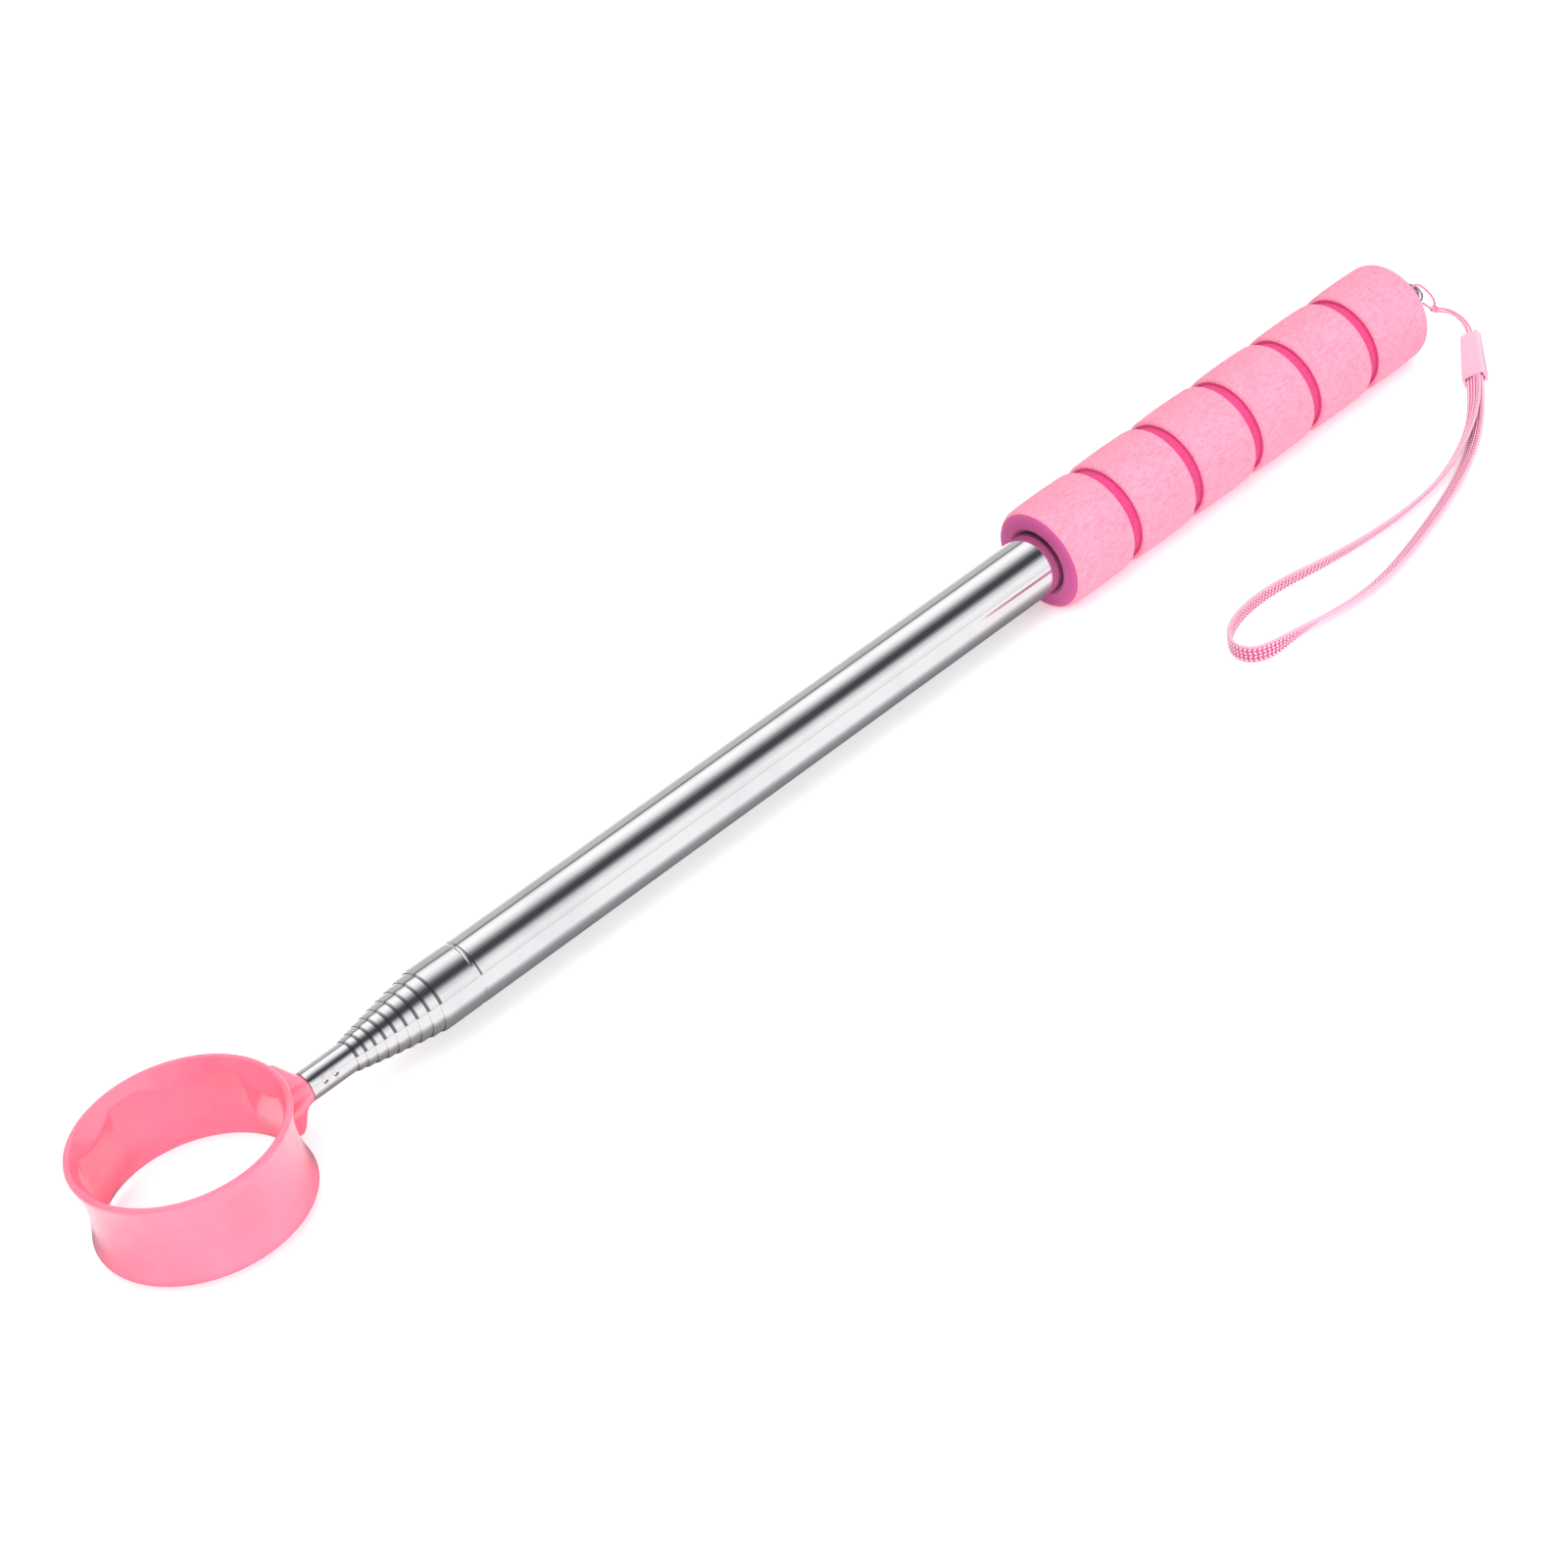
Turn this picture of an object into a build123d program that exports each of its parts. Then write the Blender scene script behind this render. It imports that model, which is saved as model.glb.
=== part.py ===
from build123d import *
import math
import os

# Golf ball retriever: ten nested steel tubes that pull out of a foam grip, with a
# snap ring for the ball on the last one and a wrist lanyard at the handle end.
# Millimetres. +X runs along the tool towards the handle and +Z is up. The origin is on
# the floor that the grip rests on, half way between the ring and the lanyard eye.

# ---- Overall ----
overall_length = 433.25      # front of the ring to the end of the lanyard eye, pushed in
running_clearance = 0.05     # radial play of a sliding fit
end_clearance = 0.5          # gap left where a moving piece stops short of another

# ---- Ball ring and its neck (one moulding) ----
ring_across_flats = 41.8     # a little under a 42.67 ball, so that it snaps in
ring_height = 21.8
ring_corner_depth = 1.3      # round wall between the flats, behind them
ring_top_flare = 2.5         # upper mouth, beyond the flats
ring_bottom_flare = 1.9
ring_top_lead = 4.0          # height of the sloped lead-in above the flats
ring_bottom_lead = 2.9
ring_rim_wall = 1.6          # upper mouth to the outside
ring_waist_depth = 1.5       # hourglass of the outside, at mid height
neck_length = 5.75           # ring rim to the end of the tip tube
neck_boss_step = 0.65        # boss proud of the tip tube
neck_web_thickness = 4.2     # upright web
neck_web_below_rim = 1.2     # at the ring, above and below alike
neck_web_run = 0.7           # full height this far past the rim
neck_shoulder_step = 0.55    # upright web proud of the boss, beside the tube
neck_shoulder_length = 0.9
neck_shelf_thickness = 2.4   # level web
neck_shelf_half_width = 6.4  # where it meets the ring
neck_shelf_taper = 0.6       # lost on each side just past the rim
neck_shelf_run = 0.5
plug_length = 15.0           # inside the tip tube

# ---- Telescopic tubes, numbered from the outermost ----
tube_count = 10
outer_tube_diameter = 16.0
tube_wall = 0.28
tube_gap = 0.198             # radial, between one tube and the next
lip_length = 1.2             # rolled-in front end
lip_step = 0.3
lip_clearance = 0.06         # radial, lip to the tube that it guides
tip_exposure = 12.15         # tip tube in front of tube 9
largest_lead = 3.1           # tube 2 in front of tube 1
lead_step = 0.12             # each next tube stands out by this much less
bead_from_front = 11.6       # rolled bead on tube 1
bead_width = 1.3
bead_depth = 0.13
dimple_sphere_radius = 0.8   # punched dimples that lock the plug
dimple_depth = 0.35
dimple_from_end = (3.5, 6.4)
dimple_angle = 17.0          # degrees above level

# ---- Friction sleeves on the rear ends of tubes 2 to 10 ----
sleeve_length = 24.0
sleeve_slit = 1.2

# ---- Grip and handle end ----
grip_diameter = 28.0
grip_length = 135.2
grip_groove_count = 5
grip_first_groove = 23.2     # its middle, from the front face
grip_last_groove = 21.8      # its middle, from the rear face
grip_groove_width = 2.4
grip_groove_depth = 1.7
grip_crown = 0.3             # swell of each segment between grooves
grip_front_round = 0.9
grip_rear_round = 3.2
grip_past_tube = 3.0         # foam beyond the end of tube 1
end_plug_length = 8.0        # inside tube 1
end_plug_flange = 2.5
eye_outer_radius = 4.25
eye_wire_diameter = 1.6
eye_stand_off = 7.05         # grip rear face to the eye's centre
eye_stem_radius = 1.4
eye_stem_depth = 6.5         # inside the end plug
eye_collar_radius = 2.3
eye_collar_length = 1.3
eye_roll = 29.1              # degrees about the tool's axis

# ---- Wrist lanyard ----
string_diameter = 0.7
knot_radius = 1.35
strap_tube_diameter = 2.0    # round stand-in for a flat tape
ferrule_length = 22.4
ferrule_mouth_size = (6.4, 3.5)
ferrule_top_size = (5.2, 2.7)
ferrule_walls = (0.75, 0.55) # round the pocket
ferrule_pocket_depth = 1.6
ferrule_pocket_round = 0.5
ferrule_corner_round = 0.9
ferrule_end_round = 0.6      # under the corner round
ferrule_yaw = 41.5           # degrees, mouth to top, from +X
ferrule_roll = 20.0          # degrees about its own length
bend_share = 0.45            # of the shorter run, taken by the arc at each corner of a cord

# ---- Places worked out from the sizes ----
axis_height = grip_diameter / 2
radius_step = tube_wall + tube_gap
flat_radius = ring_across_flats / 2
ring_corner_radius = flat_radius + ring_corner_depth
ring_core_radius = flat_radius - ring_corner_depth    # lead-ins reach here before the flats are cut
ring_top_mouth_radius = flat_radius + ring_top_flare
ring_bottom_mouth_radius = flat_radius + ring_bottom_flare
ring_outer_radius = ring_top_mouth_radius + ring_rim_wall
ring_waist_radius = ring_outer_radius - ring_waist_depth
ring_x = -overall_length / 2 + ring_outer_radius
tip_front = ring_x + ring_outer_radius + neck_length
eye_x = overall_length / 2 - eye_outer_radius
grip_rear = eye_x - eye_stand_off
grip_front = grip_rear - grip_length
tube_1_rear = grip_rear - grip_past_tube
end_plug_front = tube_1_rear - end_plug_length
inner_tube_rear = end_plug_front - end_clearance
grip_groove_pitch = (grip_length - grip_first_groove - grip_last_groove) / (grip_groove_count - 1)


def tube_radius(number):
    """Outer radius of tube 1, 2, ... 10."""
    return outer_tube_diameter / 2 - (number - 1) * radius_step


def bore_radius(number):
    return tube_radius(number) - tube_wall


def tube_front(number):
    """Front end of a tube along X: each stands a little further out than the one around it."""
    if number == tube_count:
        return tip_front
    x = tip_front + tip_exposure
    for inner in range(tube_count - 1, number, -1):
        x += largest_lead - lead_step * (inner - 2)
    return x


def tube_rear(number):
    return tube_1_rear if number == 1 else inner_tube_rear


def slide_travel(number):
    """How far tube NUMBER pulls out: its sleeve stops at the bead or the rolled lip in front."""
    outer = number - 1
    stop = tube_front(outer) + lip_length + lip_step
    if outer == 1:
        stop = tube_front(1) + bead_from_front + bead_width / 2
    return inner_tube_rear - sleeve_length - stop - end_clearance


def turned(edges):
    """A solid of revolution about the tool's axis, from a closed outline in the XZ plane."""
    return revolve(make_face(Wire(edges)), Axis.X, 360)


def chain(*points):
    """Straight edges through (x, z) points."""
    return [Line((a[0], 0, a[1]), (b[0], 0, b[1])) for a, b in zip(points, points[1:])]


def arc(start, middle, end):
    return ThreePointArc((start[0], 0, start[1]), (middle[0], 0, middle[1]), (end[0], 0, end[1]))


def make_tube(number):
    """A tube with a rolled-in front lip that guides the next tube; tube 1 also has a bead."""
    radius, bore = tube_radius(number), bore_radius(number)
    front, rear = tube_front(number), tube_rear(number)
    lip_bore = radius - radius_step + lip_clearance
    curl = radius - lip_bore
    diagonal = curl * math.sqrt(0.5)
    roll_end = (front + curl, radius)
    step_end = (front + lip_length + lip_step, bore)
    edges = [arc((front, lip_bore), (front + curl - diagonal, lip_bore + diagonal), roll_end)]
    if number == 1:
        middle = front + bead_from_front
        low, high = middle - bead_width / 2, middle + bead_width / 2
        edges += chain(roll_end, (low, radius))
        edges.append(arc((low, radius), (middle, radius - bead_depth), (high, radius)))
        edges += chain((high, radius), (rear, radius), (rear, bore), (high, bore))
        edges.append(arc((high, bore), (middle, bore - bead_depth), (low, bore)))
        edges += chain((low, bore), step_end)
    else:
        edges += chain(roll_end, (rear, radius), (rear, bore), step_end)
    edges += chain(step_end, (front + lip_length, lip_bore), (front, lip_bore))
    return turned(edges)


def dimple_places():
    """Centres of the punching spheres, in pairs on both sides of the tip tube."""
    reach = tube_radius(tube_count) + dimple_sphere_radius - dimple_depth
    for side in (0, 180):
        angle = math.radians(180 - dimple_angle + side)
        for distance in dimple_from_end:
            yield Pos(tip_front + distance, reach * math.cos(angle), reach * math.sin(angle))


def make_tip_tube():
    """The last tube: cut square at the neck and punched with dimples."""
    radius, bore = tube_radius(tube_count), bore_radius(tube_count)
    front, rear = tip_front, inner_tube_rear
    tube = turned(chain((front, bore), (front, radius), (rear, radius), (rear, bore), (front, bore)))
    core = Pos((front + rear) / 2, 0, 0) * Rot(0, 90, 0) * Cylinder(bore + tube_wall / 2, rear - front)
    for place in dimple_places():
        bump = place * Sphere(dimple_sphere_radius + tube_wall)
        tube = tube + (bump & core)
        tube = tube - place * Sphere(dimple_sphere_radius)
    return tube


def make_sleeve(number):
    """Split spring sleeve gripping the rear of a tube and sliding in the one around it."""
    middle = inner_tube_rear - sleeve_length / 2
    shell = Cylinder(bore_radius(number - 1) - running_clearance, sleeve_length)
    shell -= Cylinder(tube_radius(number), sleeve_length)
    slit = Pos(middle, 0, -tube_radius(number)) * Box(sleeve_length, sleeve_slit, 2 * radius_step)
    return Pos(middle, 0, 0) * Rot(0, 90, 0) * shell - slit


def mouth_points():
    """Inner half section of the ring from the upper mouth to the lower, as (radius, height)."""
    upper = ring_height / 2 - (ring_outer_radius - ring_top_mouth_radius) / 2
    lower = -ring_height / 2 + (ring_outer_radius - ring_bottom_mouth_radius) / 2
    upper_depth = ring_top_lead * (ring_top_mouth_radius - ring_core_radius) / ring_top_flare
    lower_depth = ring_bottom_lead * (ring_bottom_mouth_radius - ring_core_radius) / ring_bottom_flare
    return [(ring_top_mouth_radius, upper), (ring_core_radius, upper - upper_depth),
            (ring_core_radius, lower + lower_depth), (ring_bottom_mouth_radius, lower)]


def ring_outline():
    """Half section of the ring: hourglass outside, half-round rims, sloped mouths inside."""
    upper_mouth, *core, lower_mouth = mouth_points()
    outer_high, outer_low = (ring_outer_radius, upper_mouth[1]), (ring_outer_radius, lower_mouth[1])
    top_middle = ((ring_outer_radius + ring_top_mouth_radius) / 2, ring_height / 2)
    bottom_middle = ((ring_outer_radius + ring_bottom_mouth_radius) / 2, -ring_height / 2)
    return [arc(outer_low, (ring_waist_radius, 0), outer_high), arc(outer_high, top_middle, upper_mouth),
            *chain(upper_mouth, *core, lower_mouth), arc(lower_mouth, bottom_middle, outer_low)]


def make_neck():
    """Crossed webs round a boss, from the ring's wall to the tube, and the plug inside the tube."""
    wall = ring_x + flat_radius
    rim = ring_x + ring_outer_radius
    boss = tube_radius(tube_count) + neck_boss_step
    web_height = ring_height / 2 - neck_web_below_rim
    heights = [(wall, web_height), (rim + neck_web_run, web_height),
               (tip_front - neck_shoulder_length, boss + neck_shoulder_step), (tip_front, boss)]
    widths = [(wall, neck_shelf_half_width),
              (rim + neck_shelf_run, neck_shelf_half_width - neck_shelf_taper), (tip_front, boss)]
    neck = Pos((wall + tip_front) / 2, 0, 0) * Rot(0, 90, 0) * Cylinder(boss, tip_front - wall)
    for points, thickness, turn in ((heights, neck_web_thickness, 0), (widths, neck_shelf_thickness, 90)):
        outline = points + [(x, -z) for x, z in reversed(points)]
        face = make_face(Wire(chain(*outline, outline[0])))
        neck += Rot(turn, 0, 0) * extrude(face, thickness / 2, dir=(0, 1, 0), both=True)
    plug = Cylinder(bore_radius(tube_count), plug_length)
    plug = Pos(tip_front + plug_length / 2, 0, 0) * Rot(0, 90, 0) * plug
    for place in dimple_places():
        plug -= place * Sphere(dimple_sphere_radius + tube_wall)
    return neck + plug


def make_ring():
    """The ball ring with six flats inside, its neck and its plug."""
    hexagon = RegularPolygon(flat_radius, 6, major_radius=False, rotation=30)
    flats = extrude(hexagon, ring_height, both=True) & Cylinder(ring_corner_radius, 2 * ring_height)
    ring = revolve(make_face(Wire(ring_outline())), Axis.Z, 360) - flats
    mouth = mouth_points()
    corners = [(0, mouth[0][1]), *mouth, (0, mouth[-1][1])]
    space = revolve(make_face(Wire(chain(*corners, corners[0]))), Axis.Z, 360) + flats
    return Pos(ring_x, 0, 0) * ring + (make_neck() - Pos(ring_x, 0, 0) * space)


def make_grip():
    """Foam grip: crowned segments between square grooves, bored to sit tight on tube 1."""
    crest = grip_diameter / 2
    shoulder = crest - grip_crown
    groove_bottom = shoulder - grip_groove_depth
    bore = tube_radius(1)
    diagonal = math.sqrt(0.5)
    front_inset, rear_inset = grip_front_round * (1 - diagonal), grip_rear_round * (1 - diagonal)
    start = grip_front + grip_front_round
    edges = chain((grip_front, bore), (grip_front, shoulder - grip_front_round))
    edges.append(arc((grip_front, shoulder - grip_front_round),
                     (grip_front + front_inset, shoulder - front_inset), (start, shoulder)))
    for index in range(grip_groove_count):
        middle = grip_front + grip_first_groove + index * grip_groove_pitch
        low, high = middle - grip_groove_width / 2, middle + grip_groove_width / 2
        edges.append(arc((start, shoulder), ((start + low) / 2, crest), (low, shoulder)))
        edges += chain((low, shoulder), (low, groove_bottom), (high, groove_bottom), (high, shoulder))
        start = high
    rear_start = grip_rear - grip_rear_round
    edges.append(arc((start, shoulder), ((start + rear_start) / 2, crest), (rear_start, shoulder)))
    edges.append(arc((rear_start, shoulder), (grip_rear - rear_inset, shoulder - rear_inset),
                     (grip_rear, shoulder - grip_rear_round)))
    edges += chain((grip_rear, shoulder - grip_rear_round), (grip_rear, bore), (grip_front, bore))
    return turned(edges)


def make_end_plug():
    """Plug in the rear of tube 1, drilled for the eye's stem."""
    flange_end = tube_1_rear + end_plug_flange
    outline = [(end_plug_front, 0), (end_plug_front, bore_radius(1)), (tube_1_rear, bore_radius(1)),
               (tube_1_rear, tube_radius(1)), (flange_end, tube_radius(1)), (flange_end, eye_stem_radius),
               (flange_end - eye_stem_depth, eye_stem_radius), (flange_end - eye_stem_depth, 0),
               (end_plug_front, 0)]
    return turned(chain(*outline))


def make_eye():
    """Wire eye with a collar and a stem that screws into the end plug."""
    face = tube_1_rear + end_plug_flange
    ring_middle_radius = eye_outer_radius - eye_wire_diameter / 2
    inside = eye_x - ring_middle_radius
    collar_end = face + eye_collar_length
    stem_end = face - eye_stem_depth
    wire_radius = eye_wire_diameter / 2
    outline = [(stem_end, 0), (stem_end, eye_stem_radius), (face, eye_stem_radius),
               (face, eye_collar_radius), (collar_end, eye_collar_radius), (collar_end, wire_radius),
               (inside, wire_radius), (inside, 0), (stem_end, 0)]
    loop = Pos(eye_x, 0, 0) * Torus(ring_middle_radius, wire_radius)
    return Rot(eye_roll, 0, 0) * (turned(chain(*outline)) + loop)


# ---- Lanyard routes: (along X from the eye's centre, Y, height above the floor) ----
string_route = [
    (4.7, -16.2, 2.3), (8.9, -12.4, 1.9), (12.6, -8.2, 1.0), (14.8, -4.2, 1.1), (13.5, -1.7, 3.1),
    (9.3, -1.8, 5.7), (7.3, -2.0, 7.2), (7.8, -1.9, 9.0), (7.0, -1.2, 11.4), (5.4, -0.7, 13.9),
    (3.4, -0.1, 15.9), (1.4, 0.5, 15.0), (1.9, 0.9, 12.9), (3.1, -0.2, 11.2), (4.6, -1.5, 9.2),
    (6.4, -2.9, 6.8), (9.4, -2.9, 4.9), (12.6, -2.6, 3.0), (13.6, -4.8, 1.1), (11.6, -8.0, 1.1),
    (8.2, -11.7, 1.8), (4.1, -15.5, 2.3),
]
strap_route = [
    (-7.4, -27.7, 3.1), (-13.2, -33.0, 2.8), (-20.2, -38.7, 2.2), (-28.4, -44.2, 1.8),
    (-38.2, -49.4, 1.6), (-49.4, -54.4, 1.7), (-62.0, -58.9, 1.8), (-76.0, -62.8, 1.8),
    (-89.2, -65.9, 1.9), (-100.6, -66.7, 2.0), (-111.4, -65.1, 2.1), (-121.0, -63.5, 2.2), (-129.0, -63.2, 2.3), (-134.0, -60.8, 2.3),
    (-135.0, -55.8, 2.3), (-131.8, -50.8, 2.3), (-125.6, -47.3, 2.3), (-117.0, -45.8, 2.3),
    (-107.0, -46.6, 2.3), (-96.0, -49.6, 2.3), (-83.0, -51.9, 2.3), (-69.6, -52.9, 2.3),
    (-57.2, -52.0, 2.3), (-46.6, -49.6, 2.4), (-37.0, -45.6, 2.4), (-28.4, -41.0, 2.4),
    (-21.0, -36.0, 2.5), (-14.4, -30.9, 2.5), (-8.8, -26.1, 2.4),
]
knot_place = (6.9, -2.4, 7.0)
ferrule_mouth = (-11.1, -29.6, 2.8)


def make_cord(name, route, diameter):
    """A tube along straight runs joined by arcs as large as the runs allow."""
    points = [Vector(eye_x + x, y, height) for x, y, height in route]
    radii = []
    for before, here, after in zip(points, points[1:], points[2:]):
        arriving, leaving = here - before, after - here
        half_turn = math.radians(arriving.get_angle(leaving) / 2)
        radii.append(bend_share * min(arriving.length, leaving.length) / math.tan(half_turn))
    path = FilletPolyline(*points, radius=radii)
    section = Plane(origin=path @ 0, z_dir=path % 0) * Circle(diameter / 2)
    tube = sweep(section, path)
    expected = math.pi * diameter ** 2 / 4 * path.length
    print(name, "length", round(path.length, 1), "volume ratio", round(tube.volume / expected, 4),
          "smallest radius", round(min(radii), 2), "radii", [round(radius, 1) for radius in radii])
    return tube


def make_ferrule():
    """Tapered clip that joins the string to the strap, with an open pocket at the strap's end."""
    mouth = Vector(eye_x + ferrule_mouth[0], ferrule_mouth[1], ferrule_mouth[2])
    along = Vector(1, 0, 0).rotate(Axis.Z, ferrule_yaw)
    level = Vector(0, -1, 0).rotate(Axis.Z, ferrule_yaw)
    frame = Plane(origin=mouth, x_dir=level.rotate(Axis((0, 0, 0), along), -ferrule_roll), z_dir=along)
    mouth_face = RectangleRounded(*ferrule_mouth_size, ferrule_corner_round)
    top_face = RectangleRounded(*ferrule_top_size, ferrule_corner_round)
    body = loft([frame * mouth_face, frame * Pos(0, 0, ferrule_length) * top_face])
    top_edges = body.faces().sort_by(Axis(mouth, along))[-1].edges()
    body = fillet(top_edges, ferrule_end_round)
    pocket_size = [side - 2 * wall for side, wall in zip(ferrule_mouth_size, ferrule_walls)]
    pocket = extrude(RectangleRounded(*pocket_size, ferrule_pocket_round), ferrule_pocket_depth)
    return body - frame * pocket


def build_nodes():
    """Every node, in the row's frame."""
    on_axis = {"tube_1": make_tube(1)}
    for number in range(2, tube_count + 1):
        on_axis[f"tube_{number}"] = make_tip_tube() if number == tube_count else make_tube(number)
        on_axis[f"friction_sleeve_{number}"] = make_sleeve(number)
    on_axis["ring_head"] = make_ring()
    on_axis["foam_grip"] = make_grip()
    on_axis["end_plug"] = make_end_plug()
    on_axis["lanyard_eye"] = make_eye()
    nodes = {name: Pos(0, 0, axis_height) * shape for name, shape in on_axis.items()}
    nodes["lanyard_string"] = make_cord("lanyard_string", string_route, string_diameter)
    nodes["string_knot"] = Pos(eye_x + knot_place[0], knot_place[1], knot_place[2]) * Sphere(knot_radius)
    nodes["lanyard_ferrule"] = make_ferrule()
    nodes["wrist_strap"] = make_cord("wrist_strap", strap_route, strap_tube_diameter)
    return nodes


if __name__ == "__main__":
    os.makedirs("parts", exist_ok=True)
    for name, shape in build_nodes().items():
        export_step(shape, f"parts/{name}.step")
    for number in range(2, tube_count + 1):
        print(f"tube_{number} slides out", round(slide_travel(number), 1))
    print("ring centre x", ring_x, "eye centre x", eye_x, "grip", grip_front, grip_rear)
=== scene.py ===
"""Looks of the telescopic golf ball retriever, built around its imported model.

Lengths are in metres, in the row's own frame: +X runs along the tool towards the handle,
+Z is up, and the floor that the grip rests on is at height zero.
"""

import logging
import math
from dataclasses import dataclass
from enum import Enum
from typing import Any, Iterable, Sequence

import bpy
import numpy as np
from mathutils import Matrix, Vector


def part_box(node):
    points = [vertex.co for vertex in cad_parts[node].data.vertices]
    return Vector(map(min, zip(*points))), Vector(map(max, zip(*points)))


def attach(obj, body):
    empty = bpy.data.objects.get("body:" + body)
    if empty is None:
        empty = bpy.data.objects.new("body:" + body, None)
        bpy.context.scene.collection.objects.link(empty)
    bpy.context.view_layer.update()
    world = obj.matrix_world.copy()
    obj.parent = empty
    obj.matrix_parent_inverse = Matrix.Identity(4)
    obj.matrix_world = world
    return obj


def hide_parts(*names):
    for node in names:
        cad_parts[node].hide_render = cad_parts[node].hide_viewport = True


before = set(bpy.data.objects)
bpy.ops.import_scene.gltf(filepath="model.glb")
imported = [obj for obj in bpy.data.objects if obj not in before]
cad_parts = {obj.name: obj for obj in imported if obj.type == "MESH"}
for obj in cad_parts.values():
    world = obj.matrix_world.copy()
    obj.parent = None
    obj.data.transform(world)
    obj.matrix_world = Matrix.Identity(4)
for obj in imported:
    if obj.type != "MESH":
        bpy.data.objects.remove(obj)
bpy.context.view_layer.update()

LOG = logging.getLogger("retriever")
MM = 0.001
Point = tuple[float, float, float]
Colour = tuple[float, float, float, float]
Pair = tuple[float, float]
Socket = bpy.types.NodeSocket
Piece = bpy.types.Object
Material = bpy.types.Material
# How a worn surface dips: noise scales per metre, and the share of each.
DIPS = ((110.0, 0.45), (480.0, 0.35), (1700.0, 0.2))
# From the eye's centre to its far side.
EYE_REACH = 4.25 * MM


class Body(Enum):
    """The bodies that pieces ride on."""

    HANDLE = "handle"
    PICKUP_HEAD = "pickup_head"


class Slot(Enum):
    """The record's material slots, one passed along with each new piece and not read."""

    STEEL = "polished_steel"
    MOULDING = "pink_moulding"
    FOAM = "grip_foam"
    CORD = "lanyard_cord"
    WEAVE = "strap_weave"


class Mottle(Enum):
    """How far the patches of an uneven finish are apart, as a noise scale per metre."""

    BROAD = 60.0
    PATCHY = 220.0
    GRAIN = 1400.0
    FIBRE = 5200.0


def shade(red: int, green: int, blue: int) -> Colour:
    """A paint colour.

    Args:
        red: Red from 0 to 255, as seen on a screen.
        green: Green, the same way.
        blue: Blue, the same way.

    Returns:
        The colour with alpha 1, in the linear values that shaders take.
    """
    parts = []
    for part in (red / 255, green / 255, blue / 255):
        parts.append(part / 12.92 if part <= 0.04045 else ((part + 0.055) / 1.055) ** 2.4)
    return (*parts, 1.0)


# ---------------------------------------------------------------- node trees


class Value:
    """A number in a node tree. Arithmetic on it adds Math nodes."""

    def __init__(self, tree: "Tree", socket: Socket) -> None:
        """Wraps an output socket of a tree."""
        self.tree = tree
        self.socket = socket

    def calculate(self, operation: str, *others: Any, swapped: bool = False) -> "Value":
        """Adds a Math node.

        Args:
            operation: The Math node's operation.
            others: The other values, as numbers or Values.
            swapped: Whether this value comes after the first of them.

        Returns:
            The node's result.
        """
        terms = [self, *others]
        if swapped:
            terms[0], terms[1] = terms[1], terms[0]
        made = self.tree.node("ShaderNodeMath", {"operation": operation}, dict(enumerate(terms)))
        return Value(self.tree, made.outputs[0])

    def __add__(self, other: Any) -> "Value":
        """This plus another."""
        return self.calculate("ADD", other)

    __radd__ = __add__

    def __sub__(self, other: Any) -> "Value":
        """This less another."""
        return self.calculate("SUBTRACT", other)

    def __rsub__(self, other: Any) -> "Value":
        """Another less this."""
        return self.calculate("SUBTRACT", other, swapped=True)

    def __mul__(self, other: Any) -> "Value":
        """This times another."""
        return self.calculate("MULTIPLY", other)

    __rmul__ = __mul__

    def __truediv__(self, other: Any) -> "Value":
        """This over another."""
        return self.calculate("DIVIDE", other)

    def __pow__(self, other: Any) -> "Value":
        """This to a power."""
        return self.calculate("POWER", other)

    def __mod__(self, other: Any) -> "Value":
        """What is left of this over another."""
        return self.calculate("MODULO", other)

    def above(self, limit: Any) -> "Value":
        """1 where this is greater than the limit, and 0 elsewhere."""
        return self.calculate("GREATER_THAN", limit)

    def below(self, limit: Any) -> "Value":
        """1 where this is less than the limit, and 0 elsewhere."""
        return self.calculate("LESS_THAN", limit)

    def rising(self, low: float, high: float) -> "Value":
        """0 below low and 1 above high, with a smooth change between."""
        made = self.tree.node("ShaderNodeMapRange", {"interpolation_type": "SMOOTHSTEP"},
                              {"Value": self, "From Min": low, "From Max": high})
        return Value(self.tree, made.outputs["Result"])


class Tree:
    """A node tree of any kind, with one way to add a node."""

    def __init__(self, nodes: bpy.types.NodeTree) -> None:
        """Works on an existing tree and empties it."""
        self.nodes = nodes
        self.nodes.nodes.clear()

    def node(self, kind: str, settings: dict[str, Any] | None = None,
             inputs: dict[Any, Any] | None = None) -> bpy.types.Node:
        """Adds a node.

        Args:
            kind: The node's type.
            settings: Its properties, set first. "stops" are a ramp's (place, colour) pairs.
            inputs: Values or links for its sockets, by name or number.

        Returns:
            The node.
        """
        made = self.nodes.nodes.new(kind)
        for name, value in (settings or {}).items():
            if name == "stops":
                self._fill_ramp(made.color_ramp, value)
            else:
                setattr(made, name, value)
        for name, value in (inputs or {}).items():
            source = value.socket if isinstance(value, Value) else value
            if isinstance(source, Socket):
                self.nodes.links.new(source, made.inputs[name])
            else:
                made.inputs[name].default_value = source
        return made

    @staticmethod
    def _fill_ramp(ramp: bpy.types.ColorRamp, stops: Sequence[tuple[float, Colour]]) -> None:
        """Puts stops on a ramp that starts with two."""
        for _ in range(len(stops) - len(ramp.elements)):
            ramp.elements.new(0.5)
        for element, (place, colour) in zip(ramp.elements, stops):
            element.position = place
            element.color = colour


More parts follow.
